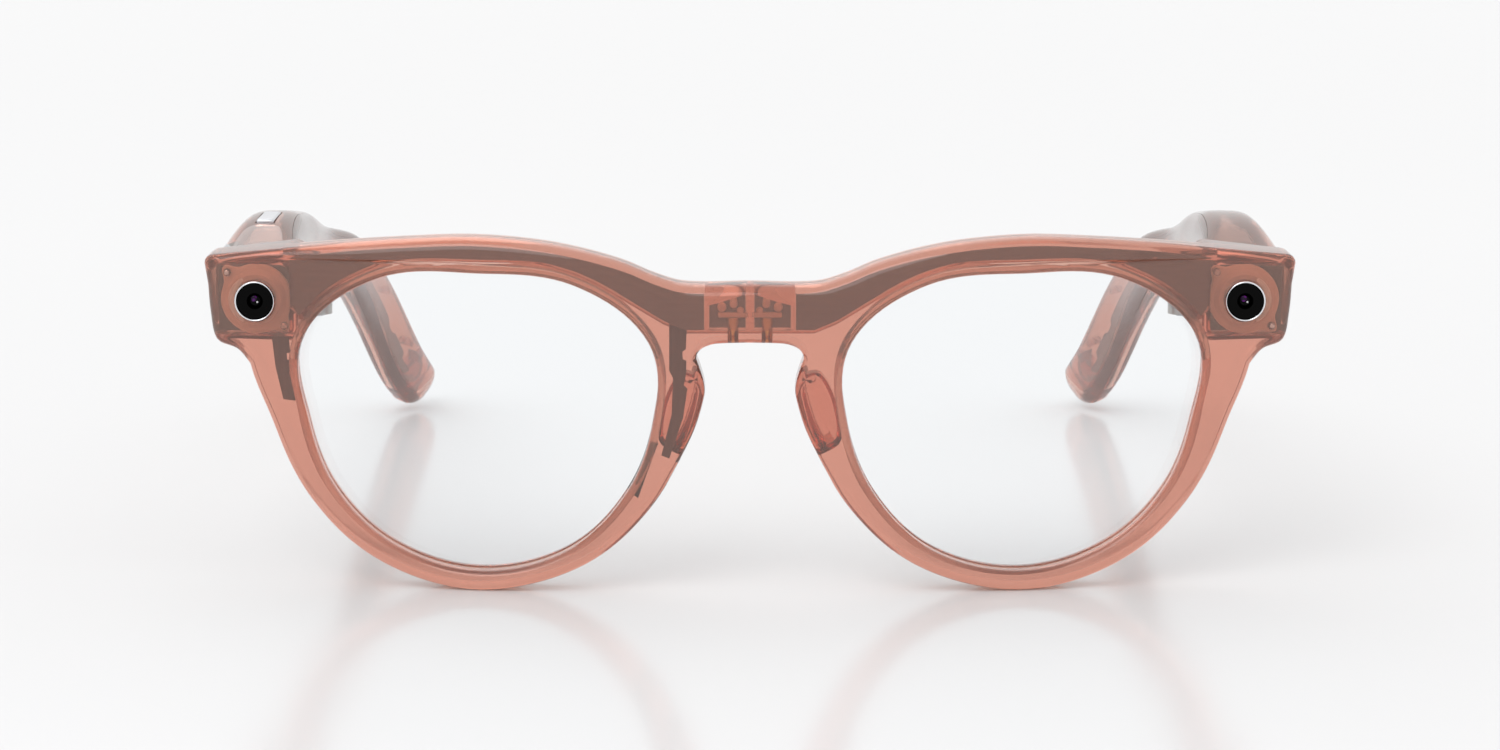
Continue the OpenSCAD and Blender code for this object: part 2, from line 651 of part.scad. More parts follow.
board_x = -0.6;
board_s = [0.075, 0.075 + board_l / temple_len];
post_s = [board_s[0] + 0.02, board_s[1] - 0.025];
board_mid = (board_s[0] + board_s[1]) / 2;
board_y = temple_y + board_s[0] * temple_len;
board_face = temple_x(board_mid) + board_x + board_t;
board_h = 6.6;
board_z = temple_z(board_mid);

module left_temple_shell() color(peach) place() {
    temple_outer();
    battery_seat();
}
module battery_seat() for (s = [battery_s[0] + 0.03, battery_s[1] - 0.04])
    rod_x(temple_y + s * temple_len, battery_z, post_d, battery_face + battery_t + fit_gap,
        temple_x(s) + along(widths, s) / 2 - shell_wall / 2);

module right_temple_shell() color(peach) place() on_side(-1) difference() {
    union() {
        temple_outer();
        for (s = post_s) rod_x(temple_y + s * temple_len, board_z, post_d, board_face + fit_gap,
            temple_x(s) + along(widths, s) / 2 - shell_wall / 2);
    }
    translate([temple_x(button_s), button_y, button_top])
        cube([button_w + 2 * button_gap, button_l + 2 * button_gap, 4], center = true);
}

module left_temple_cover() color("#D39A86") place() difference() {
    cover_body();
    translate([slider_x, slider_y + slider_travel / 2, slider_z])
        cube([6, slider_l + slider_travel + 2 * button_gap, slider_h + 2 * button_gap], center = true);
}
module right_temple_cover() color("#D39A86") place() on_side(-1) cover_body();

module left_tip_antenna() color("#83706A") place() tip_core();
module right_tip_antenna() color("#83706A") place() on_side(-1) tip_core();

// ---- Right temple's electronics ----

module main_board() color("#2F5D46") place() on_side(-1)
    block([board_face - board_t, board_y, board_z - board_h / 2], [board_face, board_y + board_l,
        board_z + board_h / 2]);
shield_t = 1.3;
module processor_shield() color("#B4B6B8") place() on_side(-1)
    block([board_face - board_t - fit_gap - shield_t, board_y + 7, board_z - board_h / 2 + 0.4],
        [board_face - board_t - fit_gap, board_y + 22, board_z + board_h / 2 - 0.4]);
touch_gap = 0.25;
module touch_sensor() color("#B57A50") place() on_side(-1)
    block([board_face + touch_gap + 1.6, board_y + 6, board_z - board_h / 2 + 0.3],
        [board_face + touch_gap + 1.6 + flex_t, board_y + board_l - 7, board_z + board_h / 2 - 0.3]);

switch_z = board_z + board_h / 2 + fit_gap;
flange_top = button_top - shell_wall - 0.7;
flange_t = 0.6;
flange_edge = 0.5;
switch_h = 1.1;
module capture_switch() color("#C9CBCD") place() on_side(-1) {
    translate([board_face - board_t / 2, button_y, switch_z]) {
        block([-1.6, -2, 0], [1.6, 2, switch_h]);
        cylinder(h = flange_top - flange_t - button_travel - 0.05 - switch_z, d = 1.6);
    }
}
module capture_button() color("#C08070") place() on_side(-1) {
    translate([temple_x(button_s), button_y, 0]) {
        block([-button_w / 2, -button_l / 2, flange_top - flange_t],
            [button_w / 2, button_l / 2, button_top + 0.3]);
        block([-button_w / 2 - flange_edge, -button_l / 2 - flange_edge, flange_top - flange_t],
            [button_w / 2 + flange_edge, button_l / 2 + flange_edge, flange_top]);
    }
}

speaker_s = 0.5;
speaker_size = [2.2, speaker_l - 3, 4];
module speaker() in_temple(speaker_s) {
    chip(speaker_size, [-0.1, 0, 0]);
}
module left_speaker() color("#3C3A3A") place() speaker();
module right_speaker() color("#3C3A3A") place() on_side(-1) speaker();

mic_s = 0.05;
mic_size = [3, 2.6, 1.1];
module microphone() translate([temple_x(mic_s), temple_y + mic_s * temple_len,
    temple_z(mic_s) - along(heights, mic_s) / 2 + shell_wall + mic_size[2] / 2 + 0.35]) chip(mic_size);
module left_microphone() color("#C0C2C4") place() microphone();
module right_microphone() color("#C0C2C4") place() on_side(-1) microphone();

// ---- Left temple's electronics ----

battery_s = [0.08, 0.08 + battery_l / temple_len];
battery_y = temple_y + battery_s[0] * temple_len;
battery_face = temple_x((battery_s[0] + battery_s[1]) / 2) - 1.4;
battery_h = 6.6;
battery_z = temple_z((battery_s[0] + battery_s[1]) / 2);
module battery() color("#8C9094") place()
    block([battery_face, battery_y, battery_z - battery_h / 2],
        [battery_face + battery_t, battery_y + battery_l, battery_z + battery_h / 2]);
module charging_board() color("#2F5D46") place()
    block([battery_face - fit_gap - board_t, slider_y - 6, slider_z - 3],
        [battery_face - fit_gap, slider_y + 9, slider_z + 3]);
switch_back = battery_face - fit_gap - board_t - fit_gap;
slider_in = slider_x + inner_t + 0.25;
flange_w = 0.45;
module power_switch() color("#4A4C4E") place()
    block([slider_in + flange_w + 0.1, slider_y - 3, slider_z - 1.8], [switch_back, slider_y + 5,
        slider_z + 1.8]);
module power_slider() color("#2E2E30") place() translate([0, slider_y, slider_z]) {
    block([slider_x - 0.5, -slider_l / 2, -slider_h / 2], [slider_in + flange_w, slider_l / 2,
        slider_h / 2]);
    block([slider_in, -slider_l / 2 - 0.5, -slider_h / 2 - 0.6], [slider_in + flange_w,
        slider_l / 2 + 0.5, slider_h / 2 + 0.6]);
}

front_shell();
rear_cover();
left_end_cap();
right_end_cap();
left_lens();
right_lens();
camera_bezel();
camera_window();
camera_gasket();
camera_carrier();
camera_module();
light_bezel();
light_window();
light_gasket();
light_carrier();
light_module();
carrier_screws();
brow_flex();
side_antenna();
nose_flex();
nose_microphone();
charging_contacts();
contact_carrier();
left_front_hinge();
right_front_hinge();
front_hinge_screws();
left_hinge_pin();
right_hinge_pin();
left_temple_shell();
left_temple_cover();
left_temple_hinge();
left_hinge_screws();
battery();
charging_board();
power_switch();
power_slider();
left_speaker();
left_microphone();
left_tip_antenna();
right_temple_shell();
right_temple_cover();
right_temple_hinge();
right_hinge_screws();
main_board();
processor_shield();
touch_sensor();
capture_switch();
capture_button();
right_speaker();
right_microphone();
right_tip_antenna();
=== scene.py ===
import bpy, bmesh, math
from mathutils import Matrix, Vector


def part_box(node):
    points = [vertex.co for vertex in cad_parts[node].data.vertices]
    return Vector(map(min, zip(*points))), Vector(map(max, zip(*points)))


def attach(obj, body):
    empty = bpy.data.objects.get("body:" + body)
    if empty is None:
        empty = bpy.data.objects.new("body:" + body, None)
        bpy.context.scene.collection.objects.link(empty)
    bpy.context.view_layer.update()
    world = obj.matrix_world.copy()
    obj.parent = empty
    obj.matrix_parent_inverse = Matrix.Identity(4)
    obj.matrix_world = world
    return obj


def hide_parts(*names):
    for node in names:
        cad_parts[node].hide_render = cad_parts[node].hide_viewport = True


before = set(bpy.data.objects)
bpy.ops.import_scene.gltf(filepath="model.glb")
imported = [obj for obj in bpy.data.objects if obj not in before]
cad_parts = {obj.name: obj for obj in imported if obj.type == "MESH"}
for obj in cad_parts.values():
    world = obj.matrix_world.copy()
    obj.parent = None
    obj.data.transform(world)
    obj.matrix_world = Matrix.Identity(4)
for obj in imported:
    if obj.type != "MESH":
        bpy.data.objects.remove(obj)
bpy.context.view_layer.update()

# ---- Studio ----
# A pale table and background under an even sky, with one broad key lamp from the upper left front
# and a weaker one from behind, so that the clear plastic shows its edges without hard glare.

def linear(code):
    """A hex sRGB colour as linear RGBA."""
    parts = [int(code[i:i + 2], 16) / 255 for i in (1, 3, 5)]
    return [c / 12.92 if c <= 0.04045 else ((c + 0.055) / 1.055) ** 2.4 for c in parts] + [1.0]

def put(tree, kind, inputs=(), **settings):
    """Adds a shader node; inputs maps a socket to a value or to the socket that feeds it."""
    made = tree.nodes.new(kind)
    for key, value in settings.items():
        setattr(made, key, value)
    for key, value in dict(inputs).items():
        if isinstance(value, bpy.types.NodeSocket):
            tree.links.new(value, made.inputs[key])
        else:
            made.inputs[key].default_value = value
    return made

def new_material(name):
    made = bpy.data.materials.new(name)
    made.use_nodes = True
    made.node_tree.nodes.clear()
    return made, made.node_tree

BACKDROP = "#F5F5F5"
world = bpy.data.worlds.new("studio")
bpy.context.scene.world = world
world.use_nodes = True
sky = world.node_tree
sky.nodes.clear()
rays = put(sky, "ShaderNodeLightPath")
seen = put(sky, "ShaderNodeMath", {0: rays.outputs["Is Camera Ray"],
                                   1: rays.outputs["Is Transmission Ray"]},
           operation="MAXIMUM")
shown = put(sky, "ShaderNodeMath", {0: seen.outputs[0], 1: rays.outputs["Is Glossy Ray"]},
            operation="MAXIMUM")
lit = put(sky, "ShaderNodeBackground", {"Color": linear("#F7F7F8"), "Strength": 0.85})
plain = put(sky, "ShaderNodeBackground", {"Color": linear(BACKDROP), "Strength": 1.0})
choice = put(sky, "ShaderNodeMixShader", {0: shown.outputs[0], 1: lit.outputs[0], 2: plain.outputs[0]})
put(sky, "ShaderNodeOutputWorld", {"Surface": choice.outputs[0]})

def lamp(name, strength, spread, tilt, turn):
    """A sun-like studio lamp with a wide soft disc, tilted from straight above and turned about Z."""
    data = bpy.data.lights.new(name, "SUN")
    data.energy = strength
    data.angle = math.radians(spread)
    made = bpy.data.objects.new(name, data)
    made.rotation_euler = (math.radians(tilt), 0, math.radians(turn))
    bpy.context.scene.collection.objects.link(made)

lamp("key_lamp", 0.7, 40, 42, -28)
lamp("back_lamp", 0.36, 50, -48, 20)

floor_bm = bmesh.new()
bmesh.ops.create_grid(floor_bm, x_segments=2, y_segments=2, size=6)
floor_mesh = bpy.data.meshes.new("table")
floor_bm.to_mesh(floor_mesh)
floor = bpy.data.objects.new("table", floor_mesh)
floor.location.z = 0.0
bpy.context.scene.collection.objects.link(floor)
table_mat, tree = new_material("satin_white_table")
table = put(tree, "ShaderNodeBsdfPrincipled", {"Base Color": linear("#F7F7F7"), "Roughness": 0.15,
                                               "IOR": 1.3})
put(tree, "ShaderNodeOutputMaterial", {"Surface": table.outputs[0]})
floor_mesh.materials.append(table_mat)

camera_data = bpy.data.cameras.new("camera")
camera_data.lens = 90.4
camera_data.sensor_width = 36
camera = bpy.data.objects.new("camera", camera_data)
pitch = math.radians(9.9)
distance = 0.508
camera.location = (0, -0.073075 - distance * math.cos(pitch), 0.0304 + distance * math.sin(pitch))
camera.rotation_euler = (math.pi / 2 - pitch, 0, 0)
bpy.context.scene.collection.objects.link(camera)
bpy.context.scene.camera = camera
bpy.context.scene.view_settings.view_transform = "Standard"

# ---- Front shell ----
# The real front is one moulding: both rims, the bridge with its nose pads, and two deep end pieces.
# It is tinted polyamide, moulded hollow behind the brow and in the end pieces, and open at the back.

LENS_X, LENS_Z, OPEN_W, OPEN_H = 37.0, 23.2265, 23.775, 20.075
HALF_W, BROW_Z, ARCH_Z, WRAP_R, BUTT_Y, RIM_T = 74.6, 48.643, 34.643, 330.0, 15.993, 6.0
END_IN, END_LOW, WINDOW_X, WINDOW_Z = 61.6, 33.493, 67.5, 39.393
HALF_DEPTH = 73.0715

def blend4(a, b, c, d, t):
    """A place between b and c on the smooth curve through four values."""
    return 0.5 * (2 * b + (c - a) * t + (2 * a - 5 * b + 4 * c - d) * t * t
                  + (3 * b - a - 3 * c + d) * t ** 3)

def along(table, s):
    """Smooth value of a table of (place, value) rows."""
    i = 0
    while i < len(table) - 2 and s >= table[i + 1][0]:
        i += 1
    def slope(k):
        a, b = table[max(k - 1, 0)], table[min(k + 1, len(table) - 1)]
        return (b[1] - a[1]) / (b[0] - a[0])
    (s0, v0), (s1, v1) = table[i], table[i + 1]
    w, t = s1 - s0, (s - s0) / (s1 - s0)
    return (v0 * (1 + 2 * t) * (1 - t) ** 2 + slope(i) * w * t * (1 - t) ** 2
            + v1 * t * t * (3 - 2 * t) + slope(i + 1) * w * t * t * (t - 1))

def wrap_y(x):
    """How far the wrapped face lies behind the bridge at x."""
    return WRAP_R - math.sqrt(WRAP_R * WRAP_R - x * x)

lens_form = [0.999, 1.129, 1.098, 1.022, 1.127, 1.155, 0.986, 0.96, 0.989, 1.02, 1.007, 0.969]

def lens_edge(angle, grow=0.0):
    """Point of the lens opening's edge, moved outwards by grow. The angle runs from nose over the top."""
    p = (angle % 360) / 30
    i = int(p)
    k = blend4(*[lens_form[(i + j) % 12] for j in (-1, 0, 1, 2)], p - i)
    a = math.radians(angle)
    return (LENS_X - (OPEN_W * k + grow) * math.cos(a), LENS_Z + (OPEN_H * k + grow) * math.sin(a))

rim_widths = [(165, 7.05), (180, 5.2), (195, 4.3), (210, 3.7), (225, 3.35), (240, 3.05), (255, 2.85),
              (270, 2.75),
              (285, 2.65), (300, 2.85), (315, 3.3), (330, 3.85), (345, 4.5)]
brow_drops = [(0, 6.1), (0.12, 6.1), (0.175, 4.95), (0.228, 3.3), (0.31, 1.6), (0.39, 0.57), (0.5, 0),
              (0.6, 0.27),
              (0.745, 1.1), (0.85, 1.93), (1, 3.2)]

def brow_top(x):
    """Height of the brow's top edge at x."""
    return BROW_Z - along(brow_drops, min(abs(x) / HALF_W, 1))

def through(points, steps):
    """Points on a smooth curve through a list of points, without its last one."""
    out = []
    for i in range(len(points) - 1):
        four = [points[min(max(i + j, 0), len(points) - 1)] for j in (-1, 0, 1, 2)]
        out += [tuple(blend4(*[q[n] for q in four], k / steps) for n in (0, 1)) for k in range(steps)]
    return out

nose_points = [(9.55, ARCH_Z - 16.2), (7.55, ARCH_Z - 12), (6.29, ARCH_Z - 7.8), (6.15, ARCH_Z - 5.8),
               (6.8, ARCH_Z - 3.45), (7.22, ARCH_Z - 2.1), (6.81, ARCH_Z - 1.1), (5.75, ARCH_Z - 0.45),
               (4.15, ARCH_Z - 0.12), (0, ARCH_Z)]
side_points = [(HALF_W - 0.45, WINDOW_Z + 2), (HALF_W - 0.7, WINDOW_Z - 1.6), (HALF_W - 1.5, END_LOW + 0.4),
               (HALF_W - 4.4, END_LOW - 0.9), lens_edge(165, 7.05)]
corner = 1.2
end_outline = ([((HALF_W - corner) * (0.8 + 0.2 * i / 12),
                 brow_top((HALF_W - corner) * (0.8 + 0.2 * i / 12)))
                for i in range(13)]
               + [(HALF_W - corner * (1 - math.cos(math.radians(a))),
                   brow_top(HALF_W) - corner * (1 - math.sin(math.radians(a))) + 0.1)
                  for a in (67, 45, 22, 0)]
               + through(side_points, 5))
half_outline = ([((HALF_W - corner) * 0.8 * i / 60, brow_top((HALF_W - corner) * 0.8 * i / 60))
                 for i in range(60)]
                + end_outline + [lens_edge(a, along(rim_widths, a)) for a in range(165, 340, 3)]
                + through(nose_points, 6) + [nose_points[-1]])

def mirrored(points):
    """Half an outline with its mirror image."""
    return points + [(-x, z) for x, z in reversed(points) if x > 0.001]

def brow_strip(wall, end_x, from_x=0.0):
    """Strip of the brow, a wall inside its outline, out to end_x."""
    top = [(from_x + (end_x - from_x) * i / 40, brow_top(from_x + (end_x - from_x) * i / 40) - wall)
           for i in range(41)]
    low = ([(end_x, WINDOW_Z - 0.3)] + [lens_edge(a, wall + 0.2) for a in range(146, 49, -4)]
           + [(11.65, ARCH_Z + wall + 1.2), (8.65, ARCH_Z + wall)])
    return top + [q for q in low if q[0] > from_x + 0.01] + [(from_x, ARCH_Z + wall)]

def inset(points, by):
    """A closed outline moved inwards by a distance, along its corner bisectors."""
    n = len(points)
    area = sum(points[i][0] * points[(i + 1) % n][1] - points[(i + 1) % n][0] * points[i][1]
               for i in range(n))
    turn = 1 if area > 0 else -1
    out = []
    for i in range(n):
        a, b, c = Vector(points[i - 1]), Vector(points[i]), Vector(points[(i + 1) % n])
        u, v = (b - a).normalized(), (c - b).normalized()
        m = Vector((-(u + v).y, (u + v).x)) * turn
        m = m.normalized() if m.length > 1e-6 else Vector((0, 0))
        side = max(m.dot(Vector((-v.y, v.x)) * turn), 0.5)
        out.append(tuple(b + m * (by / side)))
    return out

def plate(bm, loops, front, back, round_front=0.0, round_back=0.0, wrap_front=True, wrap_back=True,
          steps=4, ease=None):
    """A plate with that outline and holes in X and Z, between two depths, with rounded front and back edges.
    Where ease gives more than 1, the outline's front edge is rounder by that factor."""
    bands = []
    for depth, radius, sign, wrapped in ((front, round_front, 1, wrap_front),
                                         (back, round_back, -1, wrap_back)):
        rows = [(0.0, 0.0)] if radius <= 0 else [
            (radius * (1 - math.cos(math.pi / 2 * k / steps)),
             radius * (1 - math.sin(math.pi / 2 * k / steps)))
            for k in range(steps, -1, -1)]
        rows = [(ins, depth + sign * dy, wrapped) for ins, dy in rows]
        bands += rows if sign > 0 else rows[::-1]
    caps = [[], []]
    for number, loop in enumerate(loops):
        rings = []
        for ins, y, wrapped in bands:
            front_edge = ease and number == 0 and y < (front + back) / 2
            share = [ease(*q) if front_edge else 1.0 for q in loop]
            ring = inset(loop, ins if number == 0 else -ins)
            ring = [(a + (c - a) * k, b + (d - b) * k) for (a, b), (c, d), k in zip(loop, ring, share)]
            depths = [(front + (y - front) * k if front_edge else y) for k in share]
            rings.append([bm.verts.new((x, depth + (wrap_y(x) if wrapped else 0), z))
                          for (x, z), depth in zip(ring, depths)])
        n = len(loop)
        for one, two in zip(rings, rings[1:]):
            for i in range(n):
                bm.faces.new((one[i], one[(i + 1) % n], two[(i + 1) % n], two[i]))
        for k, ring in ((0, rings[0]), (1, rings[-1])):
            caps[k] += [bm.edges.get((ring[i], ring[(i + 1) % n])) for i in range(n)]
    for edges in caps:
        bmesh.ops.triangle_fill(bm, use_beauty=True, use_dissolve=False, edges=edges, normal=(0, 1, 0))
    bmesh.ops.recalc_face_normals(bm, faces=bm.faces)
    return bm

def lathe(bm, profile, x, z, y=0.0, count=64, closed=True):
    """A closed profile of (radius, depth) turned about an axis along Y."""
    rings = []
    for radius, depth in profile:
        if radius < 1e-6:
            rings.append([bm.verts.new((x, y + depth, z))])
        else:
            rings.append([bm.verts.new((x + radius * math.cos(2 * math.pi * k / count), y + depth,
                                        z + radius * math.sin(2 * math.pi * k / count)))
                          for k in range(count)])
    pairs = list(zip(rings, rings[1:])) + ([(rings[-1], rings[0])] if closed else [])
    for one, two in pairs:
        for k in range(count):
            quad = [one[k % len(one)], one[(k + 1) % len(one)], two[(k + 1) % len(two)], two[k % len(two)]]
            quad = [v for i, v in enumerate(quad) if v not in quad[:i]]
            if len(quad) > 2:
                bm.faces.new(quad)
    return bm

def block(bm, low, high, radius=0.0, segments=2):
    """A box by its corners, in millimetres, with rounded edges."""
    made = bmesh.ops.create_cube(bm, size=1)["verts"]
    for v in made:
        v.co = Vector([(low[k] + high[k]) / 2 + v.co[k] * (high[k] - low[k]) for k in range(3)])
    if radius > 0:
        edges = {e for v in made for e in v.link_edges}
        bmesh.ops.bevel(bm, geom=list(edges), offset=radius, segments=segments, profile=0.5, affect="EDGES")
    return bm

def flipped(bm):
    """The same shape on the other side of the bridge."""
    for v in bm.verts:
        v.co.x = -v.co.x
    bmesh.ops.reverse_faces(bm, faces=bm.faces)
    return bm

def sided(bm, flip):
    """The shape as drawn on the wearer's left, or flipped to the right."""
    return flipped(bm) if flip else bm

def to_object(name, bm):
    """A scene object from a shape."""
    mesh = bpy.data.meshes.new(name)
    bm.to_mesh(mesh)
    made = bpy.data.objects.new(name, mesh)
    bpy.context.scene.collection.objects.link(made)
    return made

def combine(bm, other, operation="DIFFERENCE"):
    """Cuts another shape from this one, or joins it on."""
    for shape in (bm, other):
        bmesh.ops.recalc_face_normals(shape, faces=shape.faces)
    a, b = to_object("a", bm), to_object("b", other)
    cut = a.modifiers.new("cut", "BOOLEAN")
    cut.object, cut.operation, cut.solver = b, operation, "EXACT"
    result = bpy.data.meshes.new_from_object(a.evaluated_get(bpy.context.evaluated_depsgraph_get()))
    bm.clear()
    bm.from_mesh(result)
    for o in (a, b):
        bpy.data.objects.remove(o)
    bpy.data.meshes.remove(result)
    other.free()
    return bm

def piece(name, bm, body, material, stands_for=(), sharp=38):
    """A finished piece from a shape in millimetres: merged, smooth up to sharp degrees, on its body."""
    bmesh.ops.remove_doubles(bm, verts=bm.verts, dist=0.0008)
    bmesh.ops.recalc_face_normals(bm, faces=bm.faces)
    for v in bm.verts:
        v.co = Vector((v.co.x, v.co.y - HALF_DEPTH, v.co.z)) * 0.001
    for f in bm.faces:
        f.smooth = True
    for e in bm.edges:
        e.smooth = len(e.link_faces) == 2 and e.calc_face_angle(0) < math.radians(sharp)
    made = to_object(name, bm)
    bm.free()
    made.data.materials.append(material)
    even = made.modifiers.new("even_normals", "WEIGHTED_NORMAL")
    even.keep_sharp = True
    if stands_for:
        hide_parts(*([stands_for] if isinstance(stands_for, str) else stands_for))
    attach(made, body)
    return made

def finish(name, colour, rough, metal=0.0, clear=0.0, ior=1.5, grain=0.4, relief=0.02, drift=0.04,
           body=None, shine=0.5):
    """A plain finish: a colour that drifts a little, and a fine relief of that grain size in millimetres.
    A body colour tints clear resin by its depth, and shine is the strength of its reflection."""
    made, tree = new_material(name)
    where = put(tree, "ShaderNodeTexCoord")
    fine = put(tree, "ShaderNodeTexNoise", {"Vector": where.outputs["Object"], "Scale": 1000 / grain,
                                            "Detail": 3})
    broad = put(tree, "ShaderNodeTexNoise", {"Vector": where.outputs["Object"], "Scale": 90, "Detail": 2})
    shade = put(tree, "ShaderNodeMapRange", {"Value": broad.outputs["Fac"], "To Min": 1 - drift,
                                             "To Max": 1 + drift})
    tone = put(tree, "ShaderNodeVectorMath", {0: linear(colour)[:3], "Scale": shade.outputs[0]},
               operation="SCALE")
    bump = put(tree, "ShaderNodeBump", {"Height": fine.outputs["Fac"], "Strength": relief,
                                        "Distance": 0.0002})
    gloss = put(tree, "ShaderNodeMapRange", {"Value": fine.outputs["Fac"], "To Min": rough * 0.85,
                                             "To Max": rough * 1.15})
    skin = put(tree, "ShaderNodeBsdfPrincipled", {
        "Base Color": tone.outputs[0], "Roughness": gloss.outputs[0], "Metallic": metal, "IOR": ior,
        "Transmission Weight": clear, "Normal": bump.outputs[0],
        "Specular IOR Level": shine})
    end = put(tree, "ShaderNodeOutputMaterial", {"Surface": skin.outputs[0]})
    if body:
        depth = put(tree, "ShaderNodeVolumeAbsorption", {"Color": linear(body), "Density": 162.0})
        tree.links.new(depth.outputs[0], end.inputs["Volume"])
    return made

# Injection-moulded polyamide with a peach tint: gloss outside, deeper in colour where it is thick.
peach = finish("tinted_polyamide", "#EDC9B9", 0.03, clear=0.88, ior=1.51, grain=0.8, relief=0.005,
               drift=0.02,
               body="#ED986C", shine=0.3)
opening = [lens_edge(a) for a in range(0, 360, 3)]

def brow_ease(x, z):
    """1 round the rims and end pieces, rising to 2 along the top of the brow."""
    if z < brow_top(x) - 1.0:
        return 1.0
    return 1 + max(0.0, min(1.0, (66 - abs(x)) / 12))

shell = plate(bmesh.new(), [mirrored(half_outline), opening, [(-x, z) for x, z in opening]], 0, RIM_T, 1.1,
              0.9,
              steps=6, ease=brow_ease)
end_block = [(x, z) for x, z in end_outline if x > END_IN and z > END_LOW - 0.3]
end_block = end_block + [(end_block[-1][0] - 0.8, END_LOW), (END_IN + 0.6, END_LOW),
                         (END_IN, END_LOW + 0.6),
                         (END_IN, brow_top(END_IN) - 0.4)]
pad = [(10.05, ARCH_Z - 16), (7.95, ARCH_Z - 11.8), (6.75, ARCH_Z - 7.8), (6.65, ARCH_Z - 5.4),
       (9.55, ARCH_Z - 4.6),
       (11.75, ARCH_Z - 8.4), (12.55, ARCH_Z - 14)]
pad = through(pad + pad[:1], 5)
for flip in (False, True):
    for outline, span, rounding, flat in ((inset(end_block, 0.03), (2.0, BUTT_Y), 0.5, False),
                                          (inset(pad, 0.2), (4.5, RIM_T + 4.2), 1.7, True)):
        part = plate(bmesh.new(), [outline], span[0], span[1], 0, rounding, True, flat)
        combine(shell, sided(part, flip), "UNION")

def rounded_box(x0, x1, z0, z1, radius):
    """Outline of a rectangle with round corners."""
    out = []
    for cx, cz, start in ((x1 - radius, z1 - radius, 0), (x0 + radius, z1 - radius, 90),
                          (x0 + radius, z0 + radius, 180), (x1 - radius, z0 + radius, 270)):
        out += [(cx + radius * math.cos(math.radians(start + k * 22.5)),
                 cz + radius * math.sin(math.radians(start + k * 22.5))) for k in range(5)]
    return out

WALL = 1.05
pocket = rounded_box(END_IN + WALL, HALF_W - WALL, END_LOW + WALL, brow_top(HALF_W) - WALL, 1.4)
lip = rounded_box(END_IN + WALL - 0.4, HALF_W - WALL + 0.4, END_LOW + WALL - 0.4, brow_top(HALF_W) - WALL
                  + 0.4, 0.6)
groove = [lens_edge(a, 1.225) for a in range(0, 360, 3)]
window_y = wrap_y(WINDOW_X)
cutters = []
for flip in (False, True):
    side_cuts = [([pocket], 1.2, BUTT_Y + 1, True, False), ([lip], BUTT_Y - 1.2, BUTT_Y + 2, False, False),
                 ([groove], 2.2, 4.3, True, True)]
    for loops, y0, y1, wrap0, wrap1 in side_cuts:
        part = plate(bmesh.new(), loops, y0, y1, 0, 0, wrap0, wrap1)
        cutters.append(sided(part, flip))
    bore = lathe(bmesh.new(), [(0, 0), (2.85, 0), (2.85, window_y + 1.8), (0, window_y + 1.8)], WINDOW_X,
                 WINDOW_Z,
                 closed=False)
    cutters.append(sided(bore, flip))
    wing = plate(bmesh.new(), [brow_strip(1.6, END_IN + 1.9, 6.1)], 2.2, RIM_T + 1)
    cutters.append(sided(wing, flip))
    cell = [(5.6, ARCH_Z + 1.6), (5.6, ARCH_Z + 5.0), (0.5, ARCH_Z + 6.2), (0.5, ARCH_Z + 1.6)]
    room = plate(bmesh.new(), [cell], 2.2, RIM_T + 1)
    cutters.append(sided(room, flip))
cutters.append(plate(bmesh.new(), [mirrored(brow_strip(0.9, END_IN)[:-1] + [(0, ARCH_Z + 0.9)])],
                     RIM_T - 1.2, RIM_T + 1))
for part in cutters:
    combine(shell, part)
piece("front_shell_clear", shell, "front", peach, "front_shell")

# ---- Rear cover and end caps ----
# Flat lids of the same resin with a satin moulding texture close the brow's channel and the end pieces.
# They are pressed in from the back, so a fine joint line runs round them.

# The same resin with a fine satin: as clear, with softer highlights.
peach_inner = finish("tinted_polyamide_satin", "#EDC9B9", 0.05, clear=0.9, ior=1.51, grain=0.6,
                     relief=0.005,
                     drift=0.02, body="#ED986C", shine=0.3)
lid = mirrored(brow_strip(0.95, END_IN - 0.05)[:-1] + [(0, ARCH_Z + 0.95)])
piece("rear_lid", plate(bmesh.new(), [lid], 4.82, 6.0, 0.1, 0.25), "front", peach_inner, "rear_cover")
for side in ("left", "right"):
    cap = plate(bmesh.new(), [inset(lip, 0.05)], BUTT_Y - 1.18, BUTT_Y, 0.1, 0.25, False, False)
    piece(side + "_end_lid", sided(cap, side == "right"), "front", peach_inner, side + "_end_cap")

# ---- Lenses ----
# Plain clear polycarbonate with a hard anti-reflection coat. Each is edged to its rim
# and snapped into the groove.

# Polycarbonate with a hard coat is colourless and bends what is behind it only a little.
clear_lens = finish("coated_polycarbonate", "#FCFEFF", 0.0, clear=1.0, ior=1.586, relief=0.0, drift=0.0)

def lens_shape():
    """The wearer's left lens, with a thinner bevel round its edge that sits in the groove."""
    bm = bmesh.new()
    edge = [lens_edge(a, 1.17) for a in range(0, 360, 3)]
    rows = [(k / 12, 2.25) for k in range(12)] + [(0.99, 2.25), (1, 2.5), (1, 4.0), (0.99, 4.25)]
    rows += [(k / 12, 4.25) for k in range(11, -1, -1)]
    rings = []
    for share, y in rows:
        ring = [(LENS_X + (x - LENS_X) * share, LENS_Z + (z - LENS_Z) * share) for x,
                z in (edge if share else edge[:1])]
        rings.append([bm.verts.new((x, y + wrap_y(x), z)) for x, z in ring])
    for one, two in zip(rings, rings[1:]):
        for k in range(len(edge)):
            quad = [one[k % len(one)], one[(k + 1) % len(one)], two[(k + 1) % len(two)], two[k % len(two)]]
            quad = [v for i, v in enumerate(quad) if v not in quad[:i]]
            bm.faces.new(quad)
    return bm

for side in ("left", "right"):
    shape = sided(lens_shape(), side == "right")
    piece(side + "_clear_lens", shape, "front", clear_lens, side + "_lens")

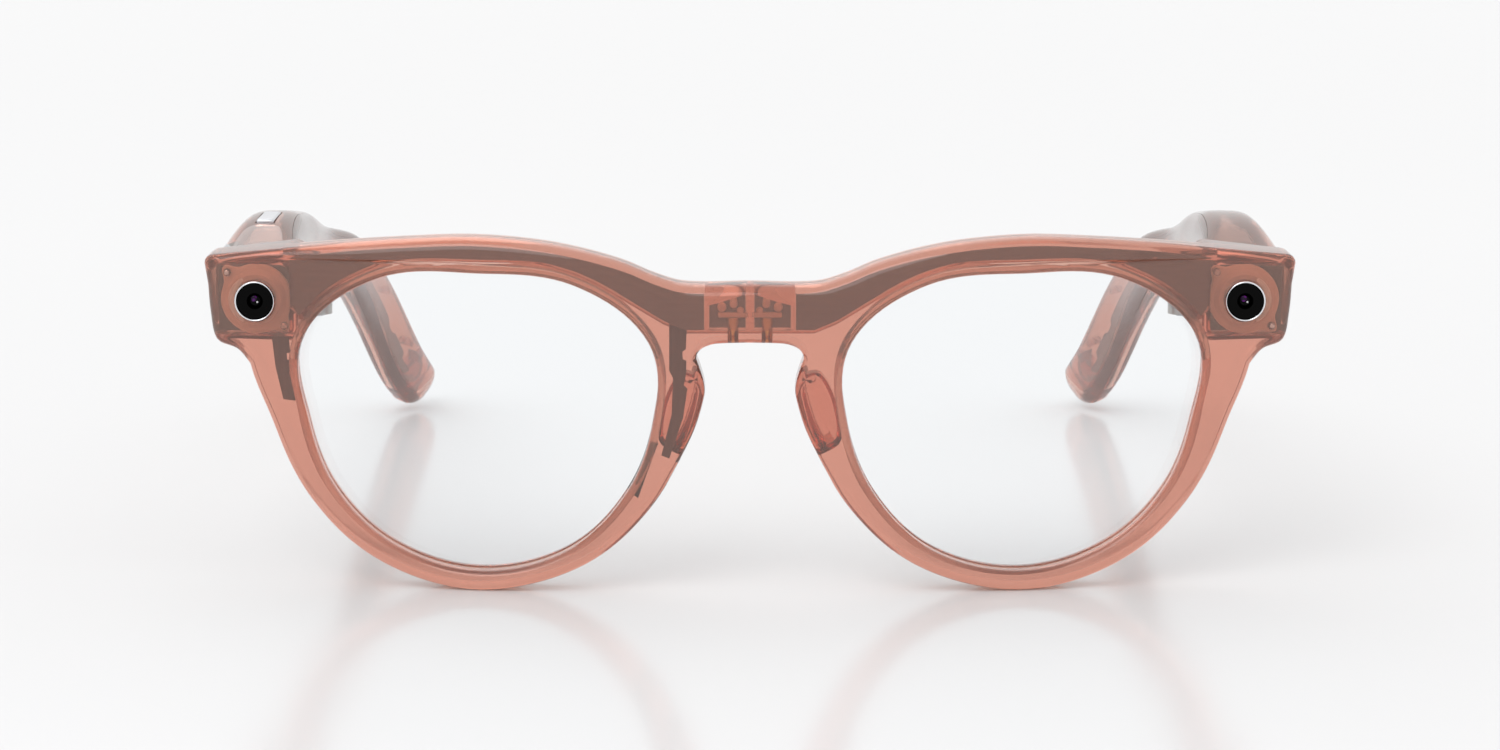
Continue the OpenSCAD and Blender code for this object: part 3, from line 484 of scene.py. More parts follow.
# ---- Camera and light ----
# A bright turned ring holds a black cover glass. Behind it show the barrel, a small front element whose
# purple is a painted reflection, and a small steel dome set in to throw a glint.
# A flat flange with two screwed ears carries each one inside the end piece.

CARRIER_Y = wrap_y(WINDOW_X + 4.8) + 1.35
SCREW_OUT, SCREW_UP = 3.8, 3.7
# Turned and polished aluminium shows as a bright thin rim.
bright = finish("bright_aluminium", "#E6E7EA", 0.16, metal=1.0, grain=0.1, relief=0.02)
# Black-printed glass with an anti-reflection coat reflects almost nothing.
black_glass = finish("black_cover_glass", "#010101", 0.04, ior=1.52, relief=0.0, shine=0.06)
# The carrier plates are the same resin with more filler, so they read opaque. Their colour is painted near
# white. This is painted light that makes up for the light the clear shell keeps out of the cavity.
filled_resin_painted_light = finish("filled_polyamide_painted_light", "#FFEBDA", 0.36, clear=0.0, ior=1.51, grain=0.2, relief=0.05)
# Die-cast and anodised housing: dark, with a dull metal sheen.
sensor_black = finish("black_anodised_housing", "#3A3836", 0.4, metal=0.6, grain=0.15, relief=0.05)
# Moulded silicone is matt and black.
seal = finish("black_silicone", "#1E1E20", 0.6, ior=1.41, grain=0.15, relief=0.08)
# Turned stainless steel of the small screws is bright with a soft sheen.
steel = finish("stainless_steel", "#C9C9CB", 0.24, metal=1.0, grain=0.1, relief=0.03)
# Purple patches are painted into the front element's colour. They are a painted reflection of a lens
# coating, not a colour of the part.
painted_purple_reflection, tree = new_material("element_painted_purple_reflection")
where = put(tree, "ShaderNodeTexCoord")
reflection_patches = put(tree, "ShaderNodeTexVoronoi", {"Vector": where.outputs["Object"], "Scale": 1500})
painted_reflection_colour = put(tree, "ShaderNodeValToRGB", {"Fac": reflection_patches.outputs["Distance"]})
painted_reflection_colour.color_ramp.elements[0].color, painted_reflection_colour.color_ramp.elements[0].position = linear("#7A1490"), 0.1
painted_reflection_colour.color_ramp.elements[1].color, painted_reflection_colour.color_ramp.elements[1].position = linear("#14031C"), 0.6
element = put(tree, "ShaderNodeBsdfPrincipled", {"Base Color": painted_reflection_colour.outputs[0], "Roughness": 0.12,
                                                 "IOR": 1.7,
                                                 "Specular IOR Level": 0.12})
put(tree, "ShaderNodeOutputMaterial", {"Surface": element.outputs[0]})

def carrier_outline(lift):
    """A round flange whose two ears run out at the upper bridge side and the lower outer side."""
    out = []
    for k in range(120):
        a = 3 * k
        ear = sum(math.exp(-(((a - middle + 180) % 360 - 180) / 10.5) ** 2) for middle in (135, 315))
        r = 4.8 + 1.45 * ear
        out.append((lift * r * math.cos(math.radians(a)) + WINDOW_X, r * math.sin(math.radians(a))
                    + WINDOW_Z))
    return out

def add_to(bm, part):
    """Puts a finished shape into another one."""
    mesh = bpy.data.meshes.new("part")
    part.to_mesh(mesh)
    bm.from_mesh(mesh)
    bpy.data.meshes.remove(mesh)
    part.free()
    return bm

def dress(name, material, broken_edge=0.0):
    """Gives a solid of the frame a finish and softly broken edges of that width in millimetres."""
    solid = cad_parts[name]
    solid.data.materials.clear()
    solid.data.materials.append(material)
    if broken_edge > 0:
        broken = solid.modifiers.new("broken_edges", "BEVEL")
        broken.width = broken_edge / 1000
        broken.segments = 2
        broken.limit_method = "ANGLE"
        broken.angle_limit = math.radians(50)

def round_hole(x, z, radius, count):
    """A round outline."""
    turns = [2 * math.pi * k / count for k in range(count)]
    return [(x + radius * math.cos(a), z + radius * math.sin(a)) for a in turns]

screws = bmesh.new()
for name, flip in (("camera", False), ("light", True)):
    side = -1 if flip else 1
    ring = lathe(bmesh.new(), [(2.48, 1.9), (2.48, -0.12), (2.55, -0.26), (2.64, -0.3), (2.73, -0.25),
                               (2.8, -0.1),
                               (2.8, 1.9)], WINDOW_X, WINDOW_Z, window_y)
    piece(name + "_ring", sided(ring, flip), "front", bright, name + "_bezel")
    glass = lathe(bmesh.new(), [(0.95, 0.35), (1.1, -0.02), (2.3, -0.15), (2.42, -0.1), (2.45, 0.02),
                                (2.45, 1.05),
                                (0, 1.05), (0, 0.6), (0.9, 0.6)], WINDOW_X, WINDOW_Z, window_y,
                  closed=False)
    piece(name + "_cover_glass", sided(glass, flip), "front", black_glass, name + "_window")
    # The front element's purple is a painted reflection, and the small steel glint dome is put in only to
    # throw a glint.
    for part, dx, dz, r, sink, material in (("rear_element", 0.0, 0.0, 0.94, 0.62, black_glass),
                                            ("painted_reflection_element", -0.15, 0.3, 0.45, 0.3, painted_purple_reflection),
                                            ("glint_element", 0.32, -0.15, 0.15, 0.18, steel)):
        tilts = [math.radians(t) for t in range(0, 91, 15)]
        dome = [(r * math.sin(t), sink - 0.45 * r * math.cos(t)) for t in tilts] + [(0, sink)]
        eye = lathe(bmesh.new(), dome, WINDOW_X + side * dx, WINDOW_Z + dz, window_y, 40, closed=False)
        piece(name + "_" + part, sided(eye, flip), "front", material, ())
    ears = [(WINDOW_X - side * SCREW_OUT, WINDOW_Z + SCREW_UP),
            (WINDOW_X + side * SCREW_OUT, WINDOW_Z - SCREW_UP)]
    holes = [round_hole(WINDOW_X, WINDOW_Z, 2.5, 48)] + [round_hole(x, z, 0.5, 12) for x, z in ears]
    flange = plate(bmesh.new(), [carrier_outline(side)[::side]] + holes, CARRIER_Y, CARRIER_Y + 1, 0.18,
                   0.1,
                   False, False)
    lathe(flange, [(2.85, 0.1), (2.85, -0.75), (3.05, -0.85), (3.5, -0.8), (3.75, -0.35), (4.1, -0.15),
                   (4.1, 0.1)],
          WINDOW_X, WINDOW_Z, CARRIER_Y)
    piece(name + "_flange", sided(flange, flip), "front", filled_resin_painted_light, name + "_carrier")
    body = lathe(bmesh.new(), [(0, -1.2), (2.1, -1.2), (2.1, -0.3), (2.3, -0.3), (2.3, 1.4), (0, 1.4)],
                 WINDOW_X, WINDOW_Z, CARRIER_Y, 48, closed=False)
    for x0, x1, y0, y1, z0, z1, radius in ((-3.2, 3.2, 1.05, 3.6, -3.2, 3.2, 0.25),
                                           (-2.6, 2.6, 3.62, 3.85, -4.2, 3.0, 0.08),
                                           (-4.55, 5.3, 1.3, 1.6, -4.55, 4.4, 0.1),
                                           (-1.8, 1.8, 3.86, 4.3, -4.1, -2.6, 0.1)):
        block(body, (WINDOW_X + x0, CARRIER_Y + y0, WINDOW_Z + z0),
              (WINDOW_X + x1, CARRIER_Y + y1, WINDOW_Z + z1),
              radius)
    piece(name + "_unit", sided(body, flip), "front", sensor_black, name + "_module")
    for x, z in ears:
        one = lathe(bmesh.new(), [(0, 0.3), (0.38, 0.3), (0.42, 0.52), (0.62, 0.5), (0.8, 0.34),
                                  (0.85, 0.1),
                                  (0.82, 0.02), (0.45, 0.02), (0.45, -1.6), (0, -1.85)], x, z, CARRIER_Y
                    + 1.0, 24,
                    closed=False)
        add_to(screws, sided(one, flip))
    dress(name + "_gasket", seal)
piece("carrier_machine_screws", screws, "front", steel, "carrier_screws")

# ---- Flexible circuits of the front ----
# Brown polyimide film with etched copper runs along the brow, down the nose side and down the outer rim.
# The film is die-cut, lies in slots of the moulding and carries a microphone by the nose.

def film(name, colour, run, angle):
    """Polyimide film over copper runs of that pitch in millimetres, turned by an angle about Y."""
    made, tree = new_material(name)
    where = put(tree, "ShaderNodeTexCoord")
    turned = put(tree, "ShaderNodeMapping", {"Vector": where.outputs["Object"],
                                             "Rotation": (0, math.radians(angle), 0)})
    wave = put(tree, "ShaderNodeTexWave", {"Vector": turned.outputs[0], "Scale": 1000 / run / 6.283,
                                           "Distortion": 0.0},
               wave_type="BANDS", bands_direction="Z")
    edge = put(tree, "ShaderNodeMapRange", {"Value": wave.outputs["Fac"], "From Min": 0.55,
                                            "From Max": 0.7})
    noise = put(tree, "ShaderNodeTexNoise", {"Vector": where.outputs["Object"], "Scale": 300, "Detail": 2})
    share = put(tree, "ShaderNodeMath", {0: edge.outputs[0], 1: noise.outputs["Fac"]}, operation="MULTIPLY")
    base = linear(colour)
    light = [c * 1.25 for c in base[:3]] + [1]
    tone = put(tree, "ShaderNodeMixRGB", {"Fac": share.outputs[0], "Color1": base, "Color2": light})
    bump = put(tree, "ShaderNodeBump", {"Height": edge.outputs[0], "Strength": 0.15, "Distance": 0.0001})
    skin = put(tree, "ShaderNodeBsdfPrincipled", {"Base Color": tone.outputs[0], "Roughness": 0.45,
                                                  "IOR": 1.7,
                                                  "Normal": bump.outputs[0]})
    put(tree, "ShaderNodeOutputMaterial", {"Surface": skin.outputs[0]})
    return made

brow_film = film("brown_polyimide_film", "#5E5450", 0.5, 0)
side_film = film("brown_polyimide_film_upright", "#5E5450", 0.5, 90)
circuit = bmesh.new()
for flip in (False, True):
    wing = plate(bmesh.new(), [brow_strip(1.66, 62.6, 6.2)], 2.25, 2.55)
    leaf = plate(bmesh.new(), [[(5.5, ARCH_Z + 1.8), (5.5, ARCH_Z + 4.9), (0.6, ARCH_Z + 6.1),
                                (0.6, ARCH_Z + 1.8)]],
                 3.6, 3.9)
    for part in (wing, leaf):
        add_to(circuit, sided(part, flip))
piece("brow_circuit", circuit, "front", brow_film, "brow_flex")

side_outline = [(62.9, END_LOW + 0.7), (62.75, END_LOW - 1.5), (63.25, END_LOW - 1.6),
                (63.2, END_LOW - 2.5),
                (62.6, END_LOW - 2.6), (62.45, END_LOW - 4.0), (62.95, END_LOW - 4.2),
                (62.8, END_LOW - 5.1),
                (62.3, END_LOW - 5.2), (62.05, END_LOW - 8.2), (63.85, END_LOW - 8.05),
                (64.85, END_LOW - 3.5),
                (65.3, END_LOW + 0.7)]
piece("side_antenna_film", flipped(plate(bmesh.new(), [side_outline], 4.25, 4.55)), "front", side_film,
      "side_antenna")
nose_outline = [(8.45, ARCH_Z + 3), (8.65, ARCH_Z - 1.2), (9.1, ARCH_Z - 1.5), (9.1, ARCH_Z - 2.6),
                (8.6, ARCH_Z - 2.8),
                (8.62, ARCH_Z - 4.6), (8.95, ARCH_Z - 6.2), (8.5, ARCH_Z - 6.6), (8.6, ARCH_Z - 7.6),
                (9.05, ARCH_Z - 10.6), (10.95, ARCH_Z - 16.3), (12, ARCH_Z - 15.9), (10.6, ARCH_Z - 10.2),
                (10.4, ARCH_Z - 5.2), (10.9, ARCH_Z - 4.2), (10.9, ARCH_Z + 3)]
piece("nose_circuit_film", flipped(plate(bmesh.new(), [nose_outline], 4.25, 4.55)), "front", side_film,
      "nose_flex")
bar = plate(bmesh.new(), [[(12.45, ARCH_Z - 14.3), (15.2, ARCH_Z - 21.9), (16.4, ARCH_Z - 21),
                           (13.6, ARCH_Z - 14.1)]],
            4.3, 5.9, 0.15, 0.15)
block(bar, (13.2, 5.0, ARCH_Z - 16.2), (14.2, 6.0, ARCH_Z - 15.2), 0.1)
piece("nose_microphone_strip", flipped(bar), "front", sensor_black, "nose_microphone")

# ---- Charging contacts ----
# Two gold-plated pins stand in the bridge's underside for a charging case. They are turned brass,
# pressed into a small moulded seat with three round bosses.

def upright(bm, x, y, z):
    """Stands a shape that was turned about Y at the origin upright at a place."""
    for v in bm.verts:
        v.co = Vector((x + v.co.x, y + v.co.z, z + v.co.y))
    return bm

# Gold plating on turned brass is warm and smooth.
gold = finish("gold_plated_contact", "#D9B871", 0.2, metal=1.0, grain=0.1, relief=0.02)
CONTACT_X, CONTACT_Y = 2.3, 3.5
pins = bmesh.new()
seats = bmesh.new()
for k in (-1, 1):
    pin = lathe(bmesh.new(), [(0, 0.02), (0.5, 0.05), (0.68, 0.16), (0.74, 0.35), (0.74, 2.2), (0.9, 2.2),
                              (0.9, 3.2),
                              (0, 3.2)], 0, 0, 0, 32, closed=False)
    add_to(pins, upright(pin, CONTACT_X * k, CONTACT_Y, ARCH_Z))
    block(seats, (CONTACT_X * k - 2.0, CONTACT_Y - 0.75, ARCH_Z + 3.25),
          (CONTACT_X * k + 2.0, CONTACT_Y + 0.75, ARCH_Z + 3.9), 0.15)
    for dx, dz, r in ((1.5, 0.9, 0.62), (-0.1, 1.35, 0.55), (-1.0, 0.4, 0.5)):
        lathe(seats, [(0, -0.7), (r * 0.7, -0.65), (r, -0.4), (r, 0.6), (0, 0.6)], k * (CONTACT_X + dx),
              ARCH_Z + 3.7 + dz,
              CONTACT_Y, 24, closed=False)
piece("charging_pins", pins, "front", gold, "charging_contacts")
# The seats share the carriers' colour, which is painted near white as painted light.
piece("contact_seats", seats, "front", filled_resin_painted_light, "contact_carrier")

# ---- Hinges ----
# Three-knuckle hinges of nickel-plated steel: each leaf is milled, screwed on with two small screws,
# and turns on a headed pin. These solids keep their machined form, with softly broken edges.

# Milled and nickel-plated steel is a warm grey with a satin sheen.
hinge_steel = finish("nickel_plated_steel", "#B4AFAB", 0.3, metal=1.0, grain=0.12, relief=0.04)
for side in ("left", "right"):
    for leaf in ("_front_hinge", "_temple_hinge"):
        dress(side + leaf, hinge_steel, 0.12)
    dress(side + "_hinge_pin", steel, 0.12)
    dress(side + "_hinge_screws", steel, 0.12)
dress("front_hinge_screws", steel, 0.12)

# ---- Temple housings ----
# Each temple is a clamshell: a deep outer shell of clear tinted polyamide and a thin satin inner cover.
# They meet at a fine seam round the inner side, run high over the electronics and bend down to the ear.

CAP = 4.4
TEMPLE_Y, TEMPLE_L, HINGE_Z, LAST = BUTT_Y + 0.15, 130.0, WINDOW_Z + 0.4, 1 - CAP / 130
line_in = [(0, 6.35), (0.1, 5.85), (0.22, 5.7), (0.34, 5.75), (0.5, 6.2), (0.65, 8.8), (0.74, 10),
           (0.83, 11.8),
           (0.92, 14.9), (1, 17.4)]
line_z = [(0, HINGE_Z + 0.1), (0.1, HINGE_Z - 0.3), (0.22, HINGE_Z - 0.05), (0.34, HINGE_Z - 0.75),
          (0.5, HINGE_Z - 4.2),
          (0.65, HINGE_Z - 7.7), (0.74, HINGE_Z - 12.2), (0.83, HINGE_Z - 19.4), (0.92, 9.05), (1, 2.05)]
heights = [(0, 11), (0.1, 15.2), (0.18, 15.4), (0.3, 12.2), (0.42, 10), (0.55, 8.3), (0.65, 8.2),
           (0.8, 9.6), (1, 9.6)]
widths = [(0, 12.7), (0.1, 10.6), (0.2, 9.3), (0.34, 8), (0.5, 6.8), (0.65, 5.6), (0.8, 5.4), (1, 5.4)]
leans = [(0, 0), (0.5, 0), (0.65, 4.68), (0.78, 13), (0.9, 26), (1, 26)]

def temple_point(s, across, up, ahead=0.0):
    """A place in a temple: share of its length, then across, up and ahead of its middle line."""
    g = 0 if s < 0.01 else math.atan2(along(line_z, s - 0.005) - along(line_z, s + 0.005), 0.01 * TEMPLE_L)
    lean = math.radians(along(leans, s))
    side = across * math.cos(lean) - up * math.sin(lean)
    rise = across * math.sin(lean) + up * math.cos(lean)
    return Vector((HALF_W - along(line_in, s) + side, TEMPLE_Y + s * TEMPLE_L + rise * math.sin(g)
                   + ahead * math.cos(g),
                   along(line_z, s) + rise * math.cos(g) - ahead * math.sin(g)))

def squareness(s):
    """The section is squarish over the electronics and rounder at the tip."""
    return along([(0, 3.6), (0.55, 3.6), (0.8, 3.1), (1, 2.9)], s)

def section(w, h, low, high, count, power=3.6):
    """The part of a squarish oval between two seams across it."""
    def where(seam):
        return math.acos(max(-1, min(1, math.copysign(min(abs(seam) / w, 1) ** (power / 2), seam))))
    a = math.pi if low <= -w else where(low)
    b = 0.0 if high >= w else where(high)
    def point(t, sign):
        c, n = math.cos(t), math.sin(t)
        return (w * math.copysign(abs(c) ** (2 / power), c), sign * h * abs(n) ** (2 / power))
    turns = [b + (a - b) * (0.5 - 0.5 * math.cos(math.pi * i / count)) for i in range(count + 1)]
    upper = [point(t, 1) for t in turns]
    lower = [point(t, -1) for t in turns[::-1]]
    ends = [upper[0][0], upper[-1][0]]
    return upper + [q for q in lower if abs(q[1]) > 1e-6 or all((q[0] - x) ** 2 > 1e-6 for x in ends)]

def sweep(bm, rings):
    """A closed skin over a row of rings."""
    made = [[bm.verts.new(p) for p in ring] for ring in rings]
    for one, two in zip(made, made[1:]):
        n = len(one)
        for i in range(n):
            bm.faces.new((one[i], one[(i + 1) % n], two[(i + 1) % n], two[i]))
    bm.faces.new(made[0][::-1])
    bm.faces.new(made[-1])
    return bm

def slant(s):
    """How far the slanted end of the tip has set in."""
    return max(0.0, min(1.0, (s - 0.85) / (LAST - 0.85))) ** 2

def housing(low, high, count):
    """The temple's outer form between two seams, given as functions of the place, with a round tip."""
    stations = [(0, 0.965, 0), (0, 0.99, 0.12), (0, 1, 0.35)] + [(LAST * i / 90, 1, 0)
                                                                 for i in range(1, 91)]
    stations += [(LAST, math.cos(math.radians(a)), CAP * math.sin(math.radians(a)))
                 for a in (12, 24, 36, 48, 60, 70, 78, 84, 88)]
    rings = []
    for s, scale, ahead in stations:
        w, h = along(widths, s) / 2, along(heights, s) / 2
        skew = 0.5 * slant(s)
        rings.append([temple_point(s, x * scale ** 0.3, z * scale, ahead + skew * z * scale)
                      for x, z in section(w, h, low(s, w), high(s, w), count, squareness(s))])
    return sweep(bmesh.new(), rings)

def seam(s, w):
    """Where the cover meets the shell, measured across the section."""
    return 1.4 - w

def hollow_shape():
    """The room inside a temple, a wall away from its outside."""
    rings = []
    for i in range(85):
        s = 0.01 + (LAST - 0.035 - 0.01) * i / 84
        w, h = along(widths, s) / 2, along(heights, s) / 2
        rings.append([temple_point(s, x - 1.1, z)
                      for x, z in section(w - 0.1, h - 1.2, -99, 99, 24, squareness(s))])
    return sweep(bmesh.new(), rings)

BUTTON_S, SLIDER_S = 0.14, 0.15
BUTTON_Y, BUTTON_TOP = TEMPLE_Y + BUTTON_S * TEMPLE_L, along(line_z, BUTTON_S) + along(heights,
    BUTTON_S) / 2
BUTTON_X = HALF_W - along(line_in, BUTTON_S)
SLIDER_Y, SLIDER_Z = TEMPLE_Y + SLIDER_S * TEMPLE_L, along(line_z, SLIDER_S)
SLIDER_X = HALF_W - along(line_in, SLIDER_S) - along(widths, SLIDER_S) / 2
for side in ("left", "right"):
    outer = housing(seam, lambda s, w: w, 30)
    combine(outer, hollow_shape())
    if side == "right":
        combine(outer, block(bmesh.new(), (BUTTON_X - 1.4, BUTTON_Y - 4.6, BUTTON_TOP - 2.5),
                             (BUTTON_X + 1.4, BUTTON_Y + 4.6, BUTTON_TOP + 2)))
    piece(side + "_outer_shell", sided(outer, side == "right"), side + "_temple", peach, side
          + "_temple_shell", 30)
    inner = housing(lambda s, w: -w, lambda s, w: seam(s, w) - 0.05, 12)
    if side == "left":
        combine(inner, block(bmesh.new(), (SLIDER_X - 3, SLIDER_Y - 2.1, SLIDER_Z - 1.2),
                             (SLIDER_X + 3, SLIDER_Y + 4.1, SLIDER_Z + 1.2)))
    piece(side + "_inner_cover", sided(inner, side == "right"), side + "_temple", peach_inner, side
          + "_temple_cover", 30)

# ---- Electronics in the temples ----
# The wearer's right temple holds the main board, its shield can and the touch film; the left one holds
# the pouch cell and the charging board. Both have a speaker and a microphone, and all keep their solids.

# Solder mask over glass epoxy is near black and satin.
board_mask = finish("black_solder_mask", "#4A4340", 0.45, ior=1.5, grain=0.3, relief=0.05, drift=0.1)
# Laminated aluminium foil of the cell is grey with a soft sheen.
pouch = finish("laminated_pouch_foil", "#8F8B88", 0.38, metal=0.5, grain=0.6, relief=0.06)
# Glass-filled polymer of the speaker boxes is dark and matt.
speaker_black = finish("black_glass_filled_polymer", "#474240", 0.5, grain=0.2, relief=0.06)
# Pressed and tinned steel cans are bright and smooth.
can_metal = finish("tinned_steel_can", "#B7B8BA", 0.3, metal=1.0, grain=0.2, relief=0.04)
EDGE = 0.2
for name, material, slot_name in (
        ("main_board", board_mask, "board_green"), ("charging_board", board_mask, "board_green"),
        ("processor_shield", can_metal, "steel"), ("touch_sensor", brow_film, "copper_flex"),
        ("battery", pouch, "battery_pouch"), ("power_switch", sensor_black, "module_black"),
        ("power_slider", sensor_black, "module_black"), ("left_speaker", speaker_black, "module_black"),
        ("right_speaker", speaker_black, "module_black"), ("left_microphone", can_metal, "steel"),
        ("right_microphone", can_metal, "steel"), ("capture_switch", can_metal, "steel")):
    dress(name, material, EDGE)

# ---- Chips of the boards ----
# Small epoxy packages and capacitors stand in rows on both boards, where a machine places and solders them.
# A Geometry Nodes grid sets one at every point and varies its size.

chip_black = finish("moulded_chip_epoxy", "#2E2B2A", 0.5, ior=1.55, grain=0.1, relief=0.05)
tree = bpy.data.node_groups.new("chip_rows", "GeometryNodeTree")
tree.interface.new_socket("Geometry", in_out="OUTPUT", socket_type="NodeSocketGeometry")
for label, kind, value in (("Length", "NodeSocketFloat", 20.0), ("Height", "NodeSocketFloat", 5.0),
                           ("Columns", "NodeSocketInt", 9), ("Rows", "NodeSocketInt", 3),
                           ("Chip", "NodeSocketVector", (1.2, 0.6, 0.8))):
    tree.interface.new_socket(label, in_out="INPUT", socket_type=kind).default_value = value
given = tree.nodes.new("NodeGroupInput")
grid = put(tree, "GeometryNodeMeshGrid", {
    "Size X": given.outputs["Length"], "Size Y": given.outputs["Height"],
    "Vertices X": given.outputs["Columns"], "Vertices Y": given.outputs["Rows"]})
standing = put(tree, "GeometryNodeTransform", {"Geometry": grid.outputs["Mesh"],
                                               "Rotation": (math.pi / 2, 0, 0)})
chip = put(tree, "GeometryNodeMeshCube", {
    "Size": given.outputs["Chip"], "Vertices X": 3, "Vertices Y": 3, "Vertices Z": 3})
spread = put(tree, "FunctionNodeRandomValue", {"Min": 0.45, "Max": 1.15, "Seed": 7})
rows = put(tree, "GeometryNodeInstanceOnPoints", {
    "Points": standing.outputs[0], "Instance": chip.outputs["Mesh"], "Scale": spread.outputs["Value"]})
whole = put(tree, "GeometryNodeRealizeInstances", {"Geometry": rows.outputs[0]})
coloured = put(tree, "GeometryNodeSetMaterial", {"Geometry": whole.outputs[0], "Material": chip_black})
put(tree, "NodeGroupOutput", {0: coloured.outputs[0]})
for board, side in (("main_board", "right"), ("charging_board", "left")):
    low, high = [Vector(corner_point) * 1000 for corner_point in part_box(board)]
    size = high - low
    middle = (low + high) / 2
    host = bpy.data.objects.new("rows", bpy.data.meshes.new("rows"))
    bpy.context.scene.collection.objects.link(host)
    filled_rows = host.modifiers.new("chip_rows", "NODES")
    filled_rows.node_group = tree
    wanted = {"Length": size.y * 0.8, "Height": size.z * 0.35}
    for item in tree.interface.items_tree:
        if item.in_out == "INPUT" and item.name in wanted:
            filled_rows[item.identifier] = wanted[item.name]
    made = bpy.data.meshes.new_from_object(host.evaluated_get(bpy.context.evaluated_depsgraph_get()))
    bpy.data.objects.remove(host)
    chips = bmesh.new()
    chips.from_mesh(made)
    inwards = 1 if side == "right" else -1
    face = (high.x if side == "right" else low.x) + 0.2 * inwards
    for v in chips.verts:
        v.co = Vector((face + inwards * v.co.y, middle.y + v.co.x + HALF_DEPTH, middle.z + v.co.z))
    bmesh.ops.recalc_face_normals(chips, faces=chips.faces)
    piece(board + "_chips", chips, side + "_temple", chip_black, ())

# ---- Chassis and films in the humps ----
# A smoke-grey chassis lines each hump behind the hinge. It is moulded with upright ribs on its front wall.
# A film stands upright beside it and carries the antenna and the earth plane of the boards.

def in_temple(bm):
    """Bends a shape drawn flat, with X along the temple, Z up and Y across, into its place."""
    for v in bm.verts:
        v.co = temple_point(v.co.x / TEMPLE_L, v.co.y, v.co.z)
    return bm

def roof(s):
    """Half the temple's height."""
    return along(heights, s) / 2

def lining(s_low, s_high, off_x, off_z):
    """A rounded body that follows the inside of a temple."""
    rings = []
    for i in range(26):
        s = s_low + (s_high - s_low) * i / 25
        w = along(widths, s) / 2 - off_x
        rings.append([temple_point(s, x, z) for x, z in section(w, roof(s) - off_z, -99, 99, 24, 2.8)])
    return sweep(bmesh.new(), rings)

# Smoke-tinted polyamide with filler lets a little light through.
smoke = finish("smoke_grey_polyamide", "#8C7C73", 0.3, clear=0.12, ior=1.53, grain=0.3, relief=0.04,
               drift=0.06)
# The ribs' resin has more glass fibre and is paler.
tan = finish("glass_filled_polyamide", "#A8978C", 0.42, ior=1.53, grain=0.25, relief=0.05, drift=0.05)
FRONT_WALL = 0.052
for side in ("left", "right"):
    flip = side == "right"
    chassis = combine(lining(0.05, 0.3, 1.75, 1.7), lining(0.058, 0.32, 2.05, 2.0))
    piece(side + "_hump_chassis", sided(chassis, flip), side + "_temple", smoke, (), 30)
    ribs = bmesh.new()
    for k in range(7):
        across = 2.4 - along(widths, FRONT_WALL) / 2 + 0.85 * k
        tall = 4.6 - 0.2 * abs(k - 2) - (0.9 if k % 3 == 1 else 0)
        block(ribs, (FRONT_WALL * TEMPLE_L, across, 0.5),
              (0.06 * TEMPLE_L, across + (0.42 if k % 2 else 0.25), tall), 0.06)
    in_temple(ribs)
    piece(side + "_chassis_ribs", sided(ribs, flip), side + "_temple", tan, ())
    top = []
    low = []
    for i in range(64):
        s = 0.022 + 0.33 * i / 63
        notch = 0.8 if i in (20, 21, 34, 35) else 0.0
        top.append((s * TEMPLE_L, roof(s) - 2.3 - notch))
        low.append((s * TEMPLE_L, -roof(s) + 2.4))
    near = 2.1 if flip else 2.6
    upright_film = plate(bmesh.new(), [top + low[::-1]], near, near + 0.25, 0, 0, False, False)
    for s, size in ((0.06, 2.4), (0.115, 1.8), (0.2, 2.6), (0.27, 1.6)):
        block(upright_film, (s * TEMPLE_L - size / 2, 1.0 if flip else 2.0, roof(s) - 4.6),
              (s * TEMPLE_L + size / 2, near - 0.05, roof(s) - 3.0), 0.15)
    in_temple(upright_film)
    piece(side + "_hump_film", sided(upright_film, flip), side + "_temple", side_film, (),
          45)

# ---- Antennas and ribs in the tips ----
# A die-cut film antenna runs down each tip between the shell's moulded bosses. A hooked rib holds its end.
# The bosses and the rib are the shell's own resin, drawn as a piece of their own.

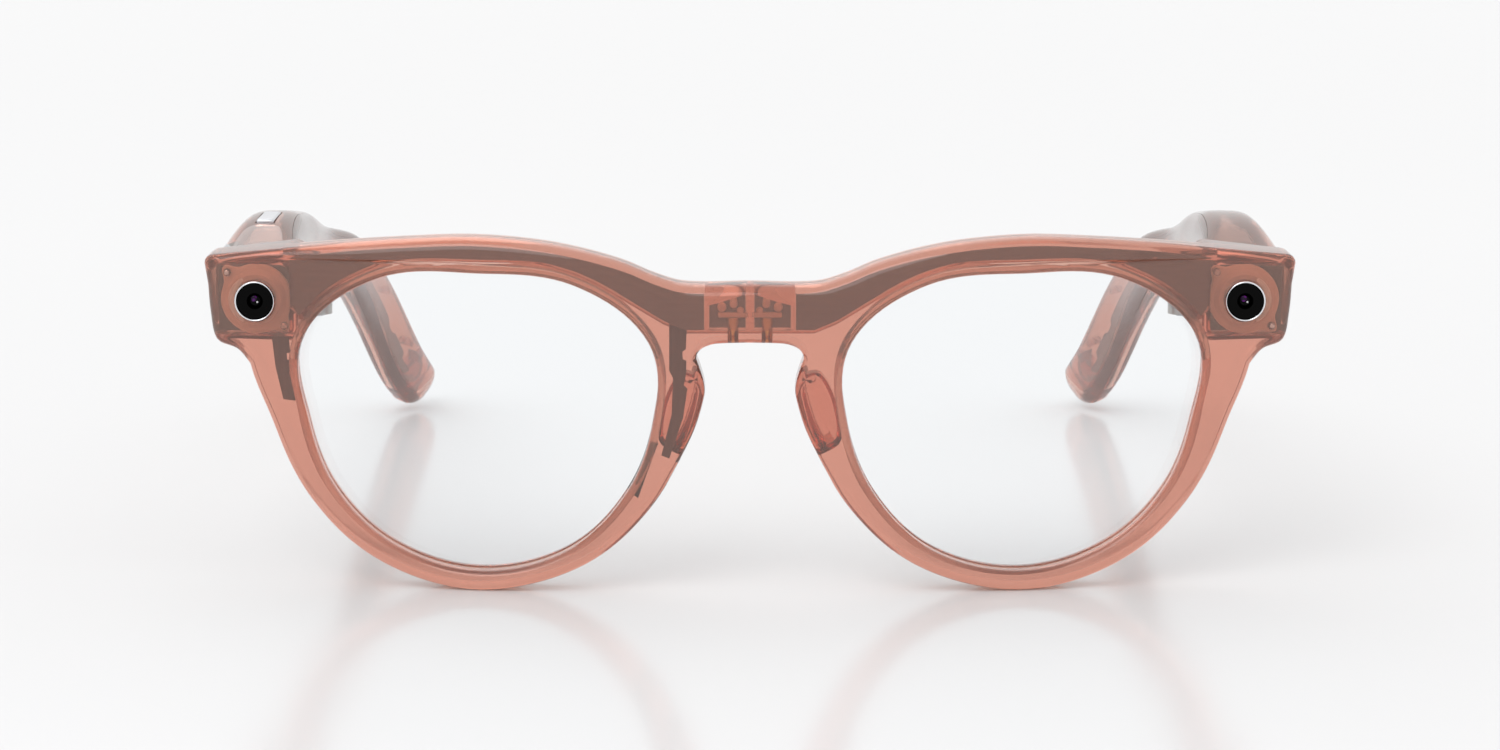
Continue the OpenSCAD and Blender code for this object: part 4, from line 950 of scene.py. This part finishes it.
HOOK = [(0.885, -1.9), (0.9, -2.4), (0.925, -2.3), (0.942, -1.2), (0.948, 0.6), (0.94, 2.2), (0.925, 3.0),
        (0.918, 2.6), (0.93, 1.8), (0.937, 0.5), (0.932, -1.0), (0.918, -1.8), (0.902, -1.9), (0.892, -1.6)]
for side in ("left", "right"):
    flip = side == "right"
    top = []
    low = []
    for i in range(80):
        s = 0.6 + 0.335 * i / 79
        notch = 0.5 if i % 26 in (9, 10, 11, 12) else 0.0
        top.append((s * TEMPLE_L, 0.9 - notch - (0.7 if i > 72 else 0)))
        low.append((s * TEMPLE_L, -3.2 + (0.5 if i % 30 in (4, 5, 6) else 0) + (0.8 if i < 6 else 0)))
    strip = in_temple(plate(bmesh.new(), [top + low[::-1]], -0.25, 0.45, 0.08, 0.08, False, False))
    piece(side + "_tip_film", sided(strip, flip), side + "_temple", side_film, side + "_tip_antenna",
          45)
    ribs = bmesh.new()
    for s, up, r in ((0.645, 1.9, 0.55), (0.735, 2.4, 0.6), (0.82, 2.6, 0.5), (0.9, 2.4, 0.6),
                     (0.935, -1.2, 0.55)):
        profile = [(0, -1.2), (r * 0.8, -1.2), (r, -1.0), (r, 0.9), (r * 0.5, 0.9), (r * 0.5, 0.2),
                   (0, 0.2)]
        add_to(ribs, in_temple(lathe(bmesh.new(), profile, s * TEMPLE_L, up, 0, 20, closed=False)))
    hook = [(s * TEMPLE_L, up) for s, up in HOOK]
    add_to(ribs, in_temple(plate(bmesh.new(), [hook], -1.2, 0.8, 0.1, 0.1, False, False)))
    piece(side + "_tip_ribs", sided(ribs, flip), side + "_temple", peach, (), 40)

# ---- Capture button ----
# A long rounded key of satin aluminium stands a little proud of the right temple's top, on its flange.
# A bent spring strip of tinned steel leads back to its switch.

# Blasted and anodised aluminium is pale with a soft sheen.
button_metal = finish("satin_aluminium_button", "#DDDEE2", 0.25, metal=1.0, grain=0.15, relief=0.03)
key = block(bmesh.new(), (-4.45, -1.25, -2.4), (4.45, 1.25, 0.22), 0.35, 4)
block(key, (-5.0, -1.75, -2.5), (5.0, 1.75, -1.95), 0.12)
for v in key.verts:
    v.co = Vector((BUTTON_X + v.co.y, BUTTON_Y + v.co.x, BUTTON_TOP + v.co.z))
piece("capture_key", flipped(key), "capture_button", button_metal, "capture_button")
spring = bmesh.new()
for out_0, out_1, y0, y1, z0, z1 in ((3.3, 1.5, 2.2, 4.6, 45.1, 45.35), (3.3, 1.5, 2.2, 2.45, 43.9, 45.3),
                                     (3.0, 1.8, 4.4, 4.65, 43.9, 45.2)):
    block(spring, (HALF_W - out_0, TEMPLE_Y + y0, z0), (HALF_W - out_1, TEMPLE_Y + y1, z1), 0.1)
piece("switch_spring", flipped(spring), "right_temple", can_metal, ())
